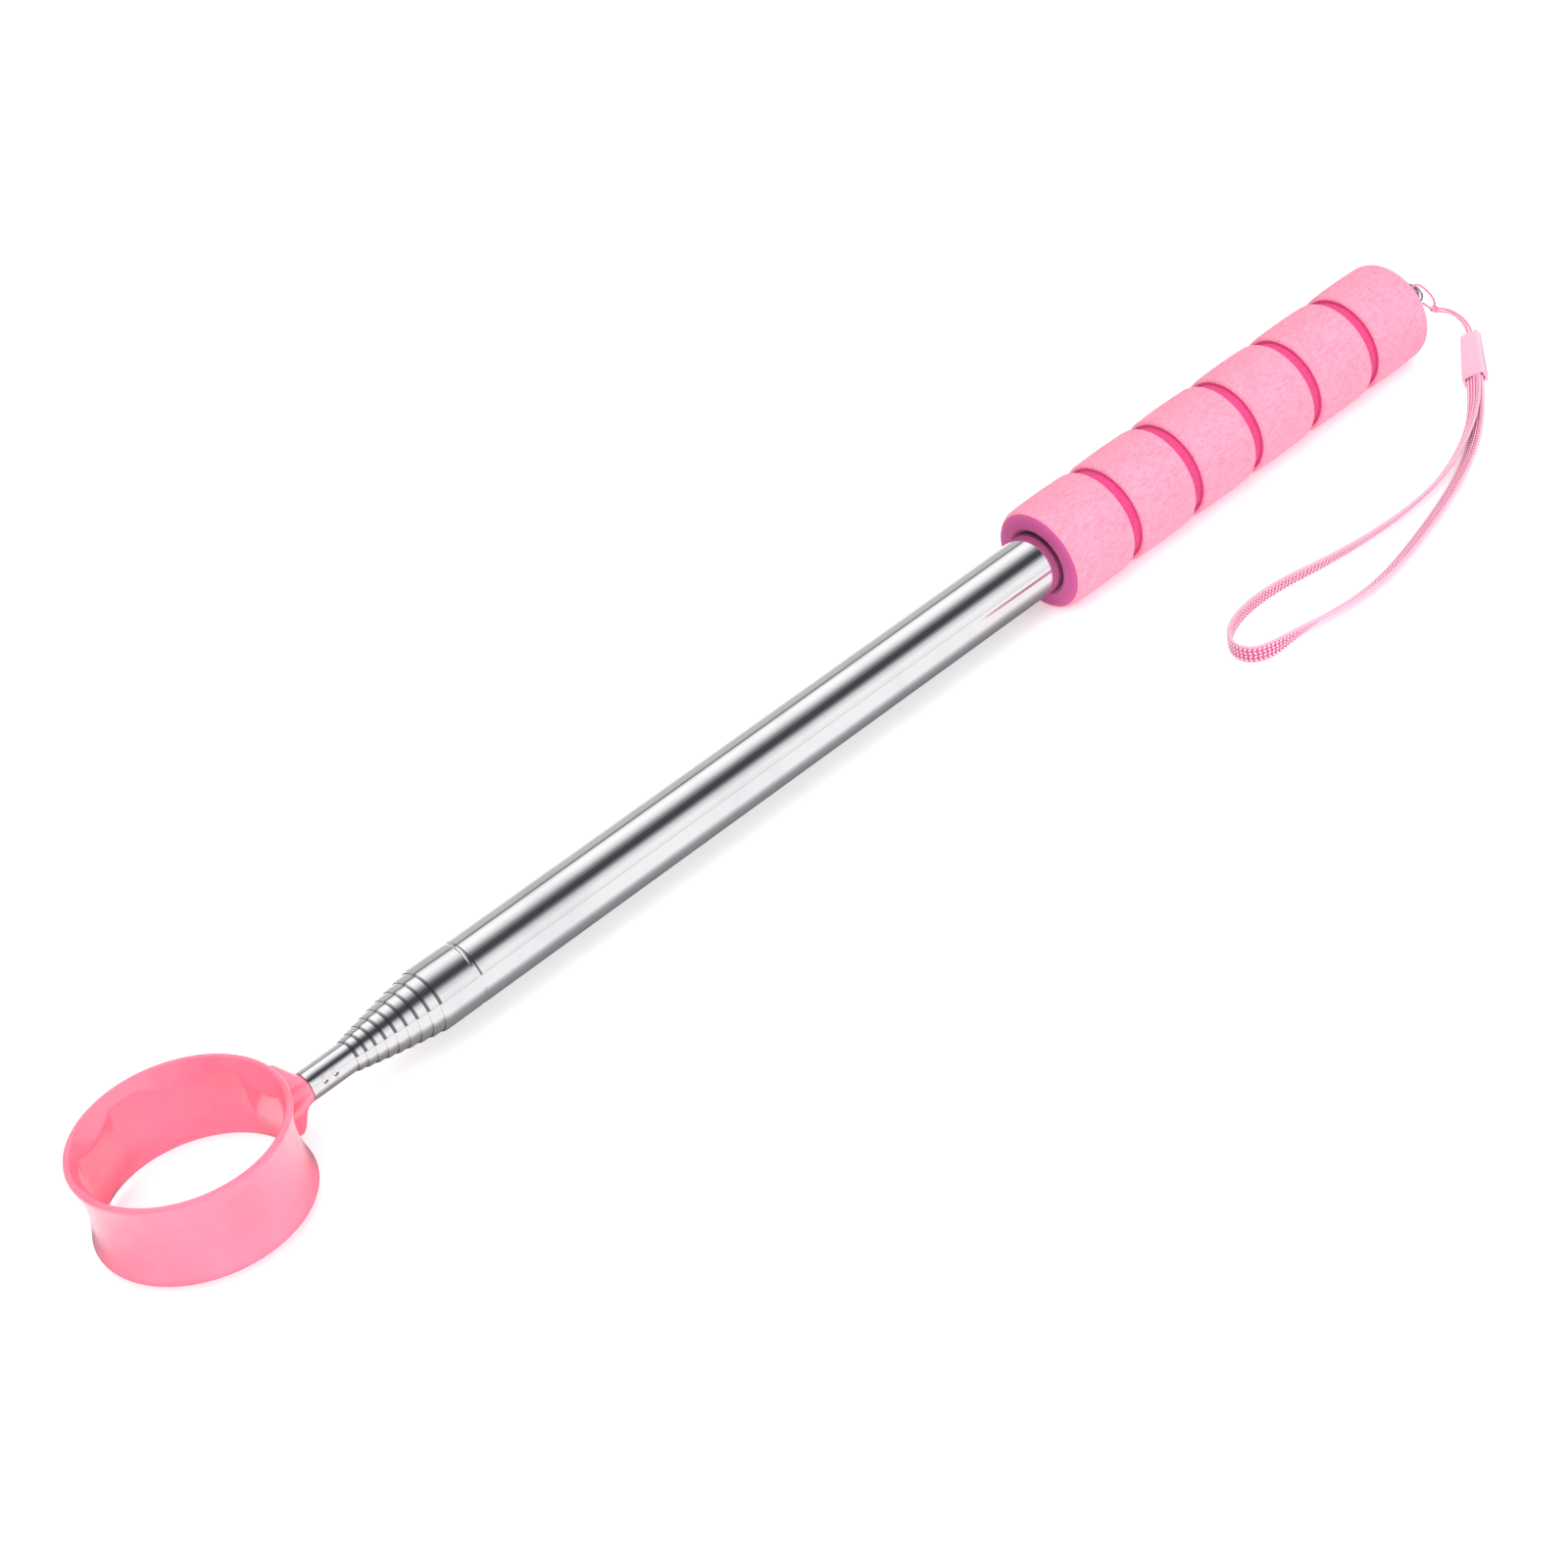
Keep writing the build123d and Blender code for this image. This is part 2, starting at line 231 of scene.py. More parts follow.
class Paint(Tree):
    """One material."""

    def __init__(self, name: str) -> None:
        """Starts an empty material."""
        self.material = bpy.data.materials.new(name)
        self.material.use_nodes = True
        super().__init__(self.material.node_tree)
        self.place = self.node("ShaderNodeTexCoord").outputs["Object"]

    def stretched(self, scale: Point, start: Point = (0.0, 0.0, 0.0)) -> Socket:
        """Object coordinates, moved by start and then scaled."""
        moved = self.node("ShaderNodeMapping", None,
                          {"Vector": self.place, "Location": start, "Scale": scale})
        return moved.outputs["Vector"]

    def cloud(self, scale: float, detail: float = 3.0, roughness: float = 0.55,
              vector: Socket | None = None) -> Value:
        """Noise from 0 to 1.

        Args:
            scale: Patches per metre.
            detail: Octaves.
            roughness: How much the finer octaves show.
            vector: Coordinates, or None for the object's own.

        Returns:
            The noise.
        """
        made = self.node("ShaderNodeTexNoise", None,
                         {"Vector": vector or self.place, "Scale": scale, "Detail": detail,
                          "Roughness": roughness})
        return Value(self, made.outputs["Fac"])

    def spots(self, scale: float, vector: Socket | None = None) -> Value:
        """Distance from the nearest of many scattered points, in cells."""
        made = self.node("ShaderNodeTexVoronoi", {"feature": "F1"},
                         {"Vector": vector or self.place, "Scale": scale})
        return Value(self, made.outputs["Distance"])

    def attribute(self, name: str) -> Value:
        """A number stored on the piece."""
        made = self.node("ShaderNodeAttribute", {"attribute_name": name})
        return Value(self, made.outputs["Fac"])

    def split(self, vector: Socket) -> tuple[Value, Value, Value]:
        """The three parts of a vector."""
        made = self.node("ShaderNodeSeparateXYZ", None, {"Vector": vector})
        return tuple(Value(self, made.outputs[axis]) for axis in "XYZ")

    def length(self, vector: Socket) -> Value:
        """A vector's length."""
        made = self.node("ShaderNodeVectorMath", {"operation": "LENGTH"}, {0: vector})
        return Value(self, made.outputs["Value"])

    def mixed(self, share: Any, first: Any, second: Any) -> Socket:
        """One colour turning into another.

        Args:
            share: 0 for the first and 1 for the second.
            first: A colour or a link to one.
            second: The other colour.

        Returns:
            The mixed colour.
        """
        made = self.node("ShaderNodeMix", {"data_type": "RGBA"}, {0: share, 6: first, 7: second})
        return made.outputs[2]

    def relief(self, height: Value, depth: float, strength: float = 1.0,
               under: Socket | None = None) -> Socket:
        """A normal from a height.

        Args:
            height: The height, from 0 to 1.
            depth: What a height of 1 is, in metres.
            strength: The share of it that shows.
            under: A normal that this one lies on.

        Returns:
            The bumped normal.
        """
        inputs = {"Height": height, "Distance": depth, "Strength": strength}
        if under is not None:
            inputs["Normal"] = under
        return self.node("ShaderNodeBump", None, inputs).outputs["Normal"]

    def finish(self, **inputs: Any) -> Material:
        """Ends the material in a Principled shader.

        Args:
            inputs: The shader's sockets, with underscores for the spaces in their names.

        Returns:
            The material.
        """
        named = {name.replace("_", " "): value for name, value in inputs.items()}
        if "IOR Level" in named:
            named["Specular IOR Level"] = named.pop("IOR Level")
        shader = self.node("ShaderNodeBsdfPrincipled", None, named)
        self.node("ShaderNodeOutputMaterial", None, {"Surface": shader.outputs["BSDF"]})
        return self.material


class Recipe(Tree):
    """A Geometry Nodes tree with named inputs, which turns one object into a plain mesh."""

    def __init__(self, name: str) -> None:
        """Starts a tree with a geometry going in and one coming out."""
        super().__init__(bpy.data.node_groups.new(name, "GeometryNodeTree"))
        for way in ("INPUT", "OUTPUT"):
            self.nodes.interface.new_socket("Geometry", in_out=way, socket_type="NodeSocketGeometry")
        self.source = self.node("NodeGroupInput")
        self.identifiers: dict[str, str] = {}

    def size(self, name: str) -> Value:
        """Adds a named input for a size, a count or a seed."""
        item = self.nodes.interface.new_socket(name, in_out="INPUT", socket_type="NodeSocketFloat")
        self.identifiers[name] = item.identifier
        return Value(self, self.source.outputs[name])

    def join(self, parts: Iterable[Socket]) -> Socket:
        """Joins geometries into one."""
        made = self.node("GeometryNodeJoinGeometry")
        for part in parts:
            self.nodes.links.new(part, made.inputs["Geometry"])
        return made.outputs["Geometry"]

    def coated(self, geometry: Socket, material: Material) -> Socket:
        """Makes instances real and gives them a material."""
        real = self.node("GeometryNodeRealizeInstances", None, {"Geometry": geometry})
        smooth = self.node("GeometryNodeSetShadeSmooth", None, {"Geometry": real.outputs["Geometry"]})
        made = self.node("GeometryNodeSetMaterial", None,
                         {"Geometry": smooth.outputs["Geometry"], "Material": material})
        return made.outputs["Geometry"]

    def store(self, geometry: Socket, name: str, value: Any) -> Socket:
        """Stores a number on every point."""
        made = self.node("GeometryNodeStoreNamedAttribute", {"data_type": "FLOAT", "domain": "POINT"},
                         {"Geometry": geometry, "Name": name, "Value": value})
        return made.outputs["Geometry"]

    def run(self, host: Piece, name: str, result: Socket,
            sizes: dict[str, float]) -> Piece:
        """Runs the tree on an object.

        Args:
            host: The object that the tree starts from. It is removed afterwards.
            name: The new piece's name.
            result: The geometry to keep.
            sizes: A value for each named input.

        Returns:
            The new piece, a plain mesh at the origin.
        """
        self.node("NodeGroupOutput", None, {"Geometry": result})
        modifier = host.modifiers.new(name, "NODES")
        modifier.node_group = self.nodes
        for label, value in sizes.items():
            modifier[self.identifiers[label]] = value
        graph = bpy.context.evaluated_depsgraph_get()
        mesh = bpy.data.meshes.new_from_object(host.evaluated_get(graph), depsgraph=graph)
        host.modifiers.remove(modifier)
        bpy.data.objects.remove(host)
        mesh.name = name
        return placed(name, mesh)


# ---------------------------------------------------------------- finishes


@dataclass(frozen=True)
class PolishedSteel:
    """Stainless tube, drawn lengthwise and then buffed."""

    name: str = "polished_stainless"
    colour: Colour = (0.78, 0.77, 0.78, 1.0)
    dulled: Colour = (0.68, 0.67, 0.685, 1.0)
    roughness: float = 0.055
    draw_lines: Point = (6.0, 2600.0, 2600.0)

    def make(self) -> Material:
        """Fine lines along the tube, faint smudges and a few hair scratches."""
        paint = Paint(self.name)
        lines = paint.cloud(1.0, 4.0, vector=paint.stretched(self.draw_lines))
        smudge = paint.cloud(Mottle.BROAD.value, 2.0).rising(0.45, 0.75)
        hairs = paint.cloud(1.0, 2.0, vector=paint.stretched((900.0, 900.0, 300.0))).rising(0.7, 0.74)
        rough = self.roughness + lines * 0.05 + smudge * 0.05 + hairs * 0.06
        return paint.finish(Base_Color=paint.mixed(smudge * 0.6, self.colour, self.dulled),
                            Metallic=1.0, Roughness=rough,
                            Normal=paint.relief(lines, 0.004 * MM, 0.5))


@dataclass(frozen=True)
class PlainMetal:
    """A metal with a turned or tumbled surface."""

    name: str
    colour: Colour
    worn: Colour
    roughness: float
    lines: Point = (2200.0, 40.0, 40.0)

    def make(self) -> Material:
        """Fine rings round the part, with brighter worn patches."""
        paint = Paint(self.name)
        rings = paint.cloud(1.0, 3.0, vector=paint.stretched(self.lines))
        patches = paint.cloud(Mottle.PATCHY.value, 3.0).rising(0.4, 0.7)
        return paint.finish(Base_Color=paint.mixed(patches, self.colour, self.worn), Metallic=1.0,
                            Roughness=self.roughness + rings * 0.08 + patches * 0.05,
                            Normal=paint.relief(rings, 0.006 * MM, 0.6))


@dataclass(frozen=True)
class Moulding:
    """Glossy injection-moulded plastic, slightly translucent."""

    name: str
    colour: Colour
    deep: Colour
    roughness: float
    ripple: float
    translucency: float
    lacquer: float = 0.2

    def make(self) -> Material:
        """Broad sink ripples, orange peel and faint clouding in the colour."""
        paint = Paint(self.name)
        broad = paint.cloud(Mottle.BROAD.value * 1.6, 2.0, 0.45)
        peel = paint.cloud(Mottle.GRAIN.value, 2.0)
        clouding = paint.cloud(Mottle.BROAD.value, 3.0).rising(0.3, 0.8)
        rubbed = paint.cloud(Mottle.PATCHY.value, 4.0).rising(0.55, 0.8)
        under = paint.relief(broad, self.ripple)
        return paint.finish(Base_Color=paint.mixed(clouding * 0.5, self.colour, self.deep),
                            Roughness=self.roughness + rubbed * 0.1 + peel * 0.04,
                            Subsurface_Weight=self.translucency, Subsurface_Radius=(1.0, 0.35, 0.35),
                            Subsurface_Scale=1.5 * MM, IOR_Level=0.5, Coat_Weight=self.lacquer,
                            Coat_Roughness=0.04,
                            Normal=paint.relief(peel, 0.006 * MM, 0.4, under))


@dataclass(frozen=True)
class Foam:
    """Sanded closed-cell foam, more deeply coloured where it was cut."""

    crest: float
    bore: float
    front: float
    rear: float
    axis_height: float
    name: str = "pink_foam"
    comb: Point = (620.0, 1800.0, 1800.0)
    pits_per_metre: float = 520.0
    groove_below_crest: float = 1.15 * MM
    shaded_mouth_reach: float = 1.05 * MM
    face_depth: float = 0.5 * MM
    skin: Colour = shade(248, 166, 187)
    blush: Colour = shade(234, 128, 158)
    cut: Colour = shade(214, 60, 126)
    end: Colour = shade(204, 88, 150)
    # Painted shade in the bore's cupped mouth, round the tube.
    deep: Colour = shade(172, 74, 124)
    pit: Colour = shade(214, 98, 140)

    def make(self) -> Material:
        """Combed grain, tiny open pits, hotter colour in the grooves and on both end faces, and
        painted shade in the bore's mouth.
        """
        paint = Paint(self.name)
        across = paint.stretched((0.0, 1.0, 1.0), (0.0, 0.0, -self.axis_height))
        radius = paint.length(across)
        along = paint.split(paint.place)[0]
        grain = paint.cloud(Mottle.GRAIN.value, 4.0, 0.65)
        combed = paint.cloud(1.0, 3.0, 0.6, paint.stretched(self.comb))
        patches = paint.cloud(Mottle.PATCHY.value, 3.0).rising(0.35, 0.7)
        pitted = paint.cloud(Mottle.PATCHY.value * 1.7, 1.0).rising(0.5, 0.62)
        pits = paint.spots(self.pits_per_metre).below(0.13) * pitted
        groove = radius.below(self.crest - self.groove_below_crest)
        facing = along.below(self.front + self.face_depth) + along.above(self.rear - self.face_depth)
        # Painted shade: the cupped mouth of the bore, round the tube, is darker.
        recess_shade = radius.below(self.bore + self.shaded_mouth_reach)
        blushed = patches * 0.12 + grain * 0.25 + combed.rising(0.36, 0.66) * 0.5
        colour = paint.mixed(blushed, self.skin, self.blush)
        colour = paint.mixed(pits * 0.7, colour, self.pit)
        colour = paint.mixed(groove * (0.75 + grain * 0.35), colour, self.cut)
        colour = paint.mixed(facing, colour, self.end)
        colour = paint.mixed(recess_shade, colour, self.deep)
        coarse = paint.relief(combed, 0.34 * MM, 0.75)
        fine = paint.relief(grain - pits * 0.8, 0.12 * MM, 0.7, coarse)
        return paint.finish(Base_Color=colour, Roughness=0.82 + grain * 0.12, Sheen_Weight=0.25,
                            Sheen_Roughness=0.5, Sheen_Tint=shade(255, 205, 222), IOR_Level=0.25,
                            Normal=fine)


@dataclass(frozen=True)
class Yarn:
    """Dyed polyester filament, seen as fibres along a strand."""

    name: str
    colour: Colour
    shadow: Colour
    gloss: float = 0.45

    def make(self) -> Material:
        """Filaments along the strand, from the length stored on it, with lighter and darker ones."""
        paint = Paint(self.name)
        fibres = paint.cloud(Mottle.FIBRE.value, 3.0, 0.6)
        ply = (paint.attribute("along") * 2600.0).calculate("SINE") * 0.5 + 0.5
        patches = paint.cloud(Mottle.PATCHY.value * 2, 2.0)
        share = fibres * 0.5 + ply * 0.2 + patches * 0.2
        return paint.finish(Base_Color=paint.mixed(share, self.colour, self.shadow),
                            Roughness=self.gloss + fibres * 0.2, Sheen_Weight=0.35,
                            Sheen_Roughness=0.4, IOR_Level=0.35,
                            Normal=paint.relief(fibres + ply * 0.5, 0.04 * MM, 0.6))


@dataclass(frozen=True)
class TapeGround:
    """The ground of the woven tape, under its raised stitches."""

    width: float
    name: str = "tape_ground"
    colour: Colour = shade(196, 66, 116)
    rib: Colour = shade(222, 110, 154)
    edge: Colour = shade(246, 200, 220)

    def make(self) -> Material:
        """Picks across the tape, ribs along it and a paler selvedge."""
        paint = Paint(self.name)
        along, across = paint.attribute("along"), paint.attribute("across")
        picks = (along * (2 * math.pi / (0.55 * MM))).calculate("SINE") * 0.5 + 0.5
        ribs = (across * (2 * math.pi / (1.1 * MM))).calculate("COSINE") * 0.5 + 0.5
        fibres = paint.cloud(Mottle.FIBRE.value, 3.0, 0.6)
        selvedge = across.calculate("ABSOLUTE").rising(self.width * 0.36, self.width * 0.47)
        colour = paint.mixed(picks * ribs * 0.7 + fibres * 0.2, self.colour, self.rib)
        colour = paint.mixed(selvedge * 0.7, colour, self.edge)
        height = picks * 0.5 + ribs * 0.5 + fibres * 0.4
        return paint.finish(Base_Color=colour, Roughness=0.55 + fibres * 0.2, Sheen_Weight=0.3,
                            Sheen_Roughness=0.4, IOR_Level=0.35,
                            Normal=paint.relief(height, 0.06 * MM, 0.8))


# ---------------------------------------------------------------- meshes


def placed(name: str, mesh: bpy.types.Mesh) -> Piece:
    """Links a new object at the origin."""
    made = bpy.data.objects.new(name, mesh)
    bpy.context.scene.collection.objects.link(made)
    return made


def sheet_of_points(name: str, points: np.ndarray, material: Material,
                    sharp: float = 40.0) -> Piece:
    """A closed surface through a grid of points that meets itself both ways round.

    Args:
        name: The piece's name.
        points: Rows of rings of points, as an array of rows by ring by 3.
        material: Its material.
        sharp: Edges that turn more than this many degrees stay sharp.

    Returns:
        The piece, with its faces outwards.
    """
    rows, ring = points.shape[:2]
    index = np.arange(rows * ring).reshape(rows, ring)
    below, right = np.roll(index, -1, 0), np.roll(index, -1, 1)
    corner = np.roll(below, -1, 1)
    faces = np.stack([index, right, corner, below], -1).reshape(-1, 4)
    flat = points.reshape(-1, 3)
    a, b, c, d = (flat[faces[:, k]] for k in range(4))
    volume = (a * (np.cross(b, c) + np.cross(c, d))).sum()
    if volume < 0:
        faces = faces[:, ::-1]
    mesh = bpy.data.meshes.new(name)
    mesh.from_pydata(flat.tolist(), [], faces.tolist())
    mesh.shade_smooth()
    mesh.set_sharp_from_angle(angle=math.radians(sharp))
    mesh.materials.append(material)
    return placed(name, mesh)


def rounded(centre: Pair, radius: float, start: float, end: float,
            steps: int = 8) -> list[Pair]:
    """Points along an arc of a profile.

    Args:
        centre: The arc's centre, as (along, out).
        radius: Its radius.
        start: The first point's angle in degrees, from the first axis to the second.
        end: The last point's angle.
        steps: How many straight pieces it has.

    Returns:
        The points, both ends included.
    """
    angles = [math.radians(start + (end - start) * step / steps) for step in range(steps + 1)]
    return [(centre[0] + radius * math.cos(a), centre[1] + radius * math.sin(a)) for a in angles]


def round_the_axis(profile: Sequence[Pair], height: float, steps: int) -> np.ndarray:
    """Turns a closed profile about the tool's axis.

    Args:
        profile: (x, radius) points round the section.
        height: The axis's height above the floor.
        steps: Points round the axis.

    Returns:
        An array of profile points by steps by 3.
    """
    angles = np.arange(steps) * (2 * math.pi / steps)
    x, radius = np.array(profile, float).T
    made = np.empty((len(x), steps, 3))
    made[:, :, 0] = x[:, None]
    made[:, :, 1] = radius[:, None] * np.sin(angles)
    made[:, :, 2] = height + radius[:, None] * np.cos(angles)
    return made


def divided(start: Pair, end: Pair, step: float) -> list[Pair]:
    """Points about step apart on a straight stretch, without its last."""
    count = max(1, round(math.dist(start, end) / step))
    return [(start[0] + (end[0] - start[0]) * k / count, start[1] + (end[1] - start[1]) * k / count)
            for k in range(count)]


def turned(name: str, profile: Sequence[Pair], height: float, steps: int,
           material: Material, sharp: float = 40.0, unevenness: float = 0.0,
           uneven_beyond: float = 1.0) -> Piece:
    """Turns a closed profile about the tool's axis, in Geometry Nodes.

    Args:
        name: The piece's name.
        profile: (x, radius) points round the section.
        height: The axis's height above the floor.
        steps: Points round the axis.
        material: The piece's material.
        sharp: Edges that turn more than this many degrees stay sharp.
        unevenness: How far the surface dips at random, in metres.
        uneven_beyond: The radius beyond which it does.

    Returns:
        The piece, a closed mesh with its faces outwards.
    """
    section = bpy.data.meshes.new(f"{name}_section")
    section.from_pydata([(x, radius, 0.0) for x, radius in profile], [], [])
    recipe = Recipe("turning")
    stations, spokes, lift = (recipe.size(label) for label in ("Stations", "Spokes", "Axis height"))
    dip, beyond = recipe.size("Dip"), recipe.size("Dip beyond")
    grid = recipe.node("GeometryNodeMeshGrid", None,
                       {"Vertices X": stations + 1, "Vertices Y": spokes + 1})
    index = Value(recipe, recipe.node("GeometryNodeInputIndex").outputs["Index"])
    row = (index / (spokes + 1)).calculate("FLOOR")
    angle = (index - row * (spokes + 1)) % spokes * (2 * math.pi) / spokes
    place = recipe.node("GeometryNodeInputPosition").outputs["Position"]
    sampled = recipe.node("GeometryNodeSampleIndex", {"data_type": "FLOAT_VECTOR", "domain": "POINT"},
                          {"Geometry": recipe.source.outputs["Geometry"], "Value": place,
                           "Index": row % stations})
    parts = recipe.node("ShaderNodeSeparateXYZ", None, {"Vector": sampled.outputs["Value"]})
    along, out = Value(recipe, parts.outputs["X"]), Value(recipe, parts.outputs["Y"])
    true_place = recipe.node("ShaderNodeCombineXYZ", None,
                             {"X": along, "Y": out * angle.calculate("SINE"),
                              "Z": out * angle.calculate("COSINE")})
    dips = 0.0
    for scale, share in DIPS:
        cloud = recipe.node("ShaderNodeTexNoise", None,
                            {"Vector": true_place.outputs["Vector"], "Scale": scale, "Detail": 1.0})
        dips = Value(recipe, cloud.outputs["Fac"]) * share + dips
    worn = out - dips * dip * out.above(beyond)
    finished = recipe.node("ShaderNodeCombineXYZ", None,
                           {"X": along, "Y": worn * angle.calculate("SINE"),
                            "Z": worn * angle.calculate("COSINE") + lift})
    moved = recipe.node("GeometryNodeSetPosition", None,
                        {"Geometry": grid.outputs["Mesh"], "Position": finished.outputs["Vector"]})
    closed = recipe.node("GeometryNodeMergeByDistance", None,
                         {"Geometry": moved.outputs["Geometry"], "Distance": 0.001 * MM})
    result = recipe.coated(closed.outputs["Geometry"], material)
    piece = recipe.run(placed(f"{name}_section", section), name, result,
                       {"Stations": len(profile), "Spokes": steps, "Axis height": height,
                        "Dip": unevenness, "Dip beyond": uneven_beyond})
    return facing_out(piece, sharp)


def facing_out(piece: Piece, sharp: float) -> Piece:
    """Turns a closed piece's faces outwards, and keeps its sharp edges sharp."""
    mesh = piece.data
    mesh.calc_loop_triangles()
    corners = np.empty(len(mesh.loop_triangles) * 3, dtype=np.int32)
    mesh.loop_triangles.foreach_get("vertices", corners)
    points = np.array([vertex.co for vertex in mesh.vertices])[corners].reshape(-1, 3, 3)
    if (points[:, 0] * np.cross(points[:, 1], points[:, 2])).sum() < 0:
        mesh.flip_normals()
    mesh.shade_smooth()
    mesh.set_sharp_from_angle(angle=math.radians(sharp))
    return piece


def greatest_radius(node: str, height: float) -> float:
    """How far a CAD node reaches from the tool's axis."""
    points = np.array([v.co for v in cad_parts[node].data.vertices])
    return float(np.hypot(points[:, 1], points[:, 2] - height).max())


def stand_for(piece: Piece, body: str, slot: Slot, *nodes: str) -> Piece:
    """Puts a piece on its body in place of CAD nodes."""
    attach(piece, body)
    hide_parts(*nodes)
    return piece


def dress(node: str, material: Material) -> Piece:
    """Gives a CAD node its material."""
    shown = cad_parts[node]
    shown.data.materials.clear()
    shown.data.materials.append(material)
    return shown


# ---------------------------------------------------------------- studio


@dataclass
class Studio:
    """Camera, floor and the soft light of a white studio with a few dark gaps."""

    camera_place: Point = (-0.434874, -0.595357, 0.505691)
    azimuth: float = -34.9195
    elevation: float = 34.6429
    roll: float = -14.2818
    lens: float = 86.43
    floor_half: float = 9.0
    strength: float = 1.0
    backdrop: Colour = (0.97, 0.97, 0.975, 1.0)
    key_strength: float = 3.0
    key_spread: float = 70.0
    key_from: Point = (-0.35, -0.45, 0.85)
    # Degrees from straight up towards -Y, and the brightness seen there.
    sky: tuple[Pair, ...] = (
        (-90, 0.85), (-60, 0.75), (-53, 0.7), (-49, 0.2), (-46, 0.25), (-42, 1.2), (-30, 1.55),
        (-18, 1.5), (-5, 1.1), (8, 0.42), (20, 0.1), (34, 0.08), (42, 0.3), (52, 1.0), (66, 1.35),
        (80, 1.35), (90, 1.05))

    def add_camera(self) -> None:
        """A camera at its place, turned by its three angles."""
        camera = bpy.data.objects.new("camera", bpy.data.cameras.new("camera"))
        bpy.context.scene.collection.objects.link(camera)
        bpy.context.scene.camera = camera
        camera.data.lens = self.lens
        camera.data.sensor_width = 36.0
        camera.data.clip_start = 0.01
        camera.data.clip_end = 50.0
        turn = Matrix.Rotation(math.radians(self.azimuth), 4, "Z")
        tip = Matrix.Rotation(math.radians(90 - self.elevation), 4, "X")
        roll = Matrix.Rotation(math.radians(self.roll), 4, "Z")
        camera.matrix_world = Matrix.Translation(self.camera_place) @ turn @ tip @ roll

    def add_floor(self) -> None:
        """A wide pale floor under the tool."""
        half = self.floor_half
        mesh = bpy.data.meshes.new("floor")
        mesh.from_pydata([(-half, -half, 0), (half, -half, 0), (half, half, 0), (-half, half, 0)],
                         [], [(0, 1, 2, 3)])
        floor = placed("floor", mesh)
        paint = Paint("pale_floor")
        # Polished parts see a duller floor, and a dark one close under them, as over a raised stand.
        path = paint.node("ShaderNodeLightPath")
        close = 1 - Value(paint, path.outputs["Ray Length"]).rising(0.012, 0.023)
        dark = Value(paint, path.outputs["Is Glossy Ray"]) * (close * 0.56 + 0.24)
        tone = paint.mixed(paint.cloud(3.0, 2.0) * 0.3, (0.94, 0.94, 0.945, 1), (0.9, 0.9, 0.905, 1))
        tone = paint.mixed(dark, tone, (0.05, 0.048, 0.055, 1))
        mesh.materials.append(paint.finish(Base_Color=tone, Roughness=0.9, IOR_Level=0.1,
                                           Emission_Color=tone, Emission_Strength=0.3))

    def add_light(self) -> None:
        """A band of tones across the tool, a plain backdrop for the camera, and one soft key."""
        world = bpy.data.worlds.new("studio")
        bpy.context.scene.world = world
        world.use_nodes = True
        tree = Tree(world.node_tree)
        direction = tree.node("ShaderNodeTexCoord").outputs["Generated"]
        parts = tree.node("ShaderNodeSeparateXYZ", None, {"Vector": direction})
        x, y, z = (Value(tree, parts.outputs[axis]) for axis in "XYZ")
        lean = (y * -1.0).calculate("ARCTAN2", z) / math.pi + 0.5
        stops = [(0.5 + degrees / 180, (tone, tone, tone + 0.012, 1)) for degrees, tone in self.sky]
        band = tree.node("ShaderNodeValToRGB", {"stops": stops}, {"Fac": lean})
        # Darker towards the ring's end, so that the lips and the bead mirror a dark line.
        ends = (x * -1.0).rising(0.05, 0.42) * 0.82
        streaks = tree.node("ShaderNodeTexNoise", {"noise_dimensions": "1D"},
                            {"W": lean * 60.0, "Scale": 1.0, "Detail": 3.0})
        tinted = tree.node("ShaderNodeMix", {"data_type": "RGBA", "blend_type": "MULTIPLY"},
                           {0: 0.35, 6: band.outputs["Color"], 7: streaks.outputs["Fac"]})
        tone = tree.node("ShaderNodeMix", {"data_type": "RGBA"},
                         {0: ends, 6: tinted.outputs[2], 7: (0.05, 0.05, 0.06, 1)})
        light = tree.node("ShaderNodeBackground", None,
                          {"Color": tone.outputs[2], "Strength": self.strength})
        backdrop = tree.node("ShaderNodeBackground", None, {"Color": self.backdrop, "Strength": 1.0})
        seen = tree.node("ShaderNodeLightPath").outputs["Is Camera Ray"]
        either = tree.node("ShaderNodeMixShader", None,
                           {0: seen, 1: light.outputs["Background"],
                            2: backdrop.outputs["Background"]})
        tree.node("ShaderNodeOutputWorld", None, {"Surface": either.outputs["Shader"]})
        lamp = bpy.data.lights.new("key", "SUN")
        lamp.energy = self.key_strength
        lamp.angle = math.radians(self.key_spread)
        key = bpy.data.objects.new("key", lamp)
        key.rotation_euler = Vector(self.key_from).to_track_quat("Z", "Y").to_euler()
        key.visible_glossy = False
        bpy.context.scene.collection.objects.link(key)
        bpy.context.scene.view_settings.view_transform = "Standard"

    def build(self) -> None:
        """Camera first, then floor and light."""
        self.add_camera()
        self.add_floor()
        self.add_light()
        LOG.info("studio ready")


# ---------------------------------------------------------------- lanyard


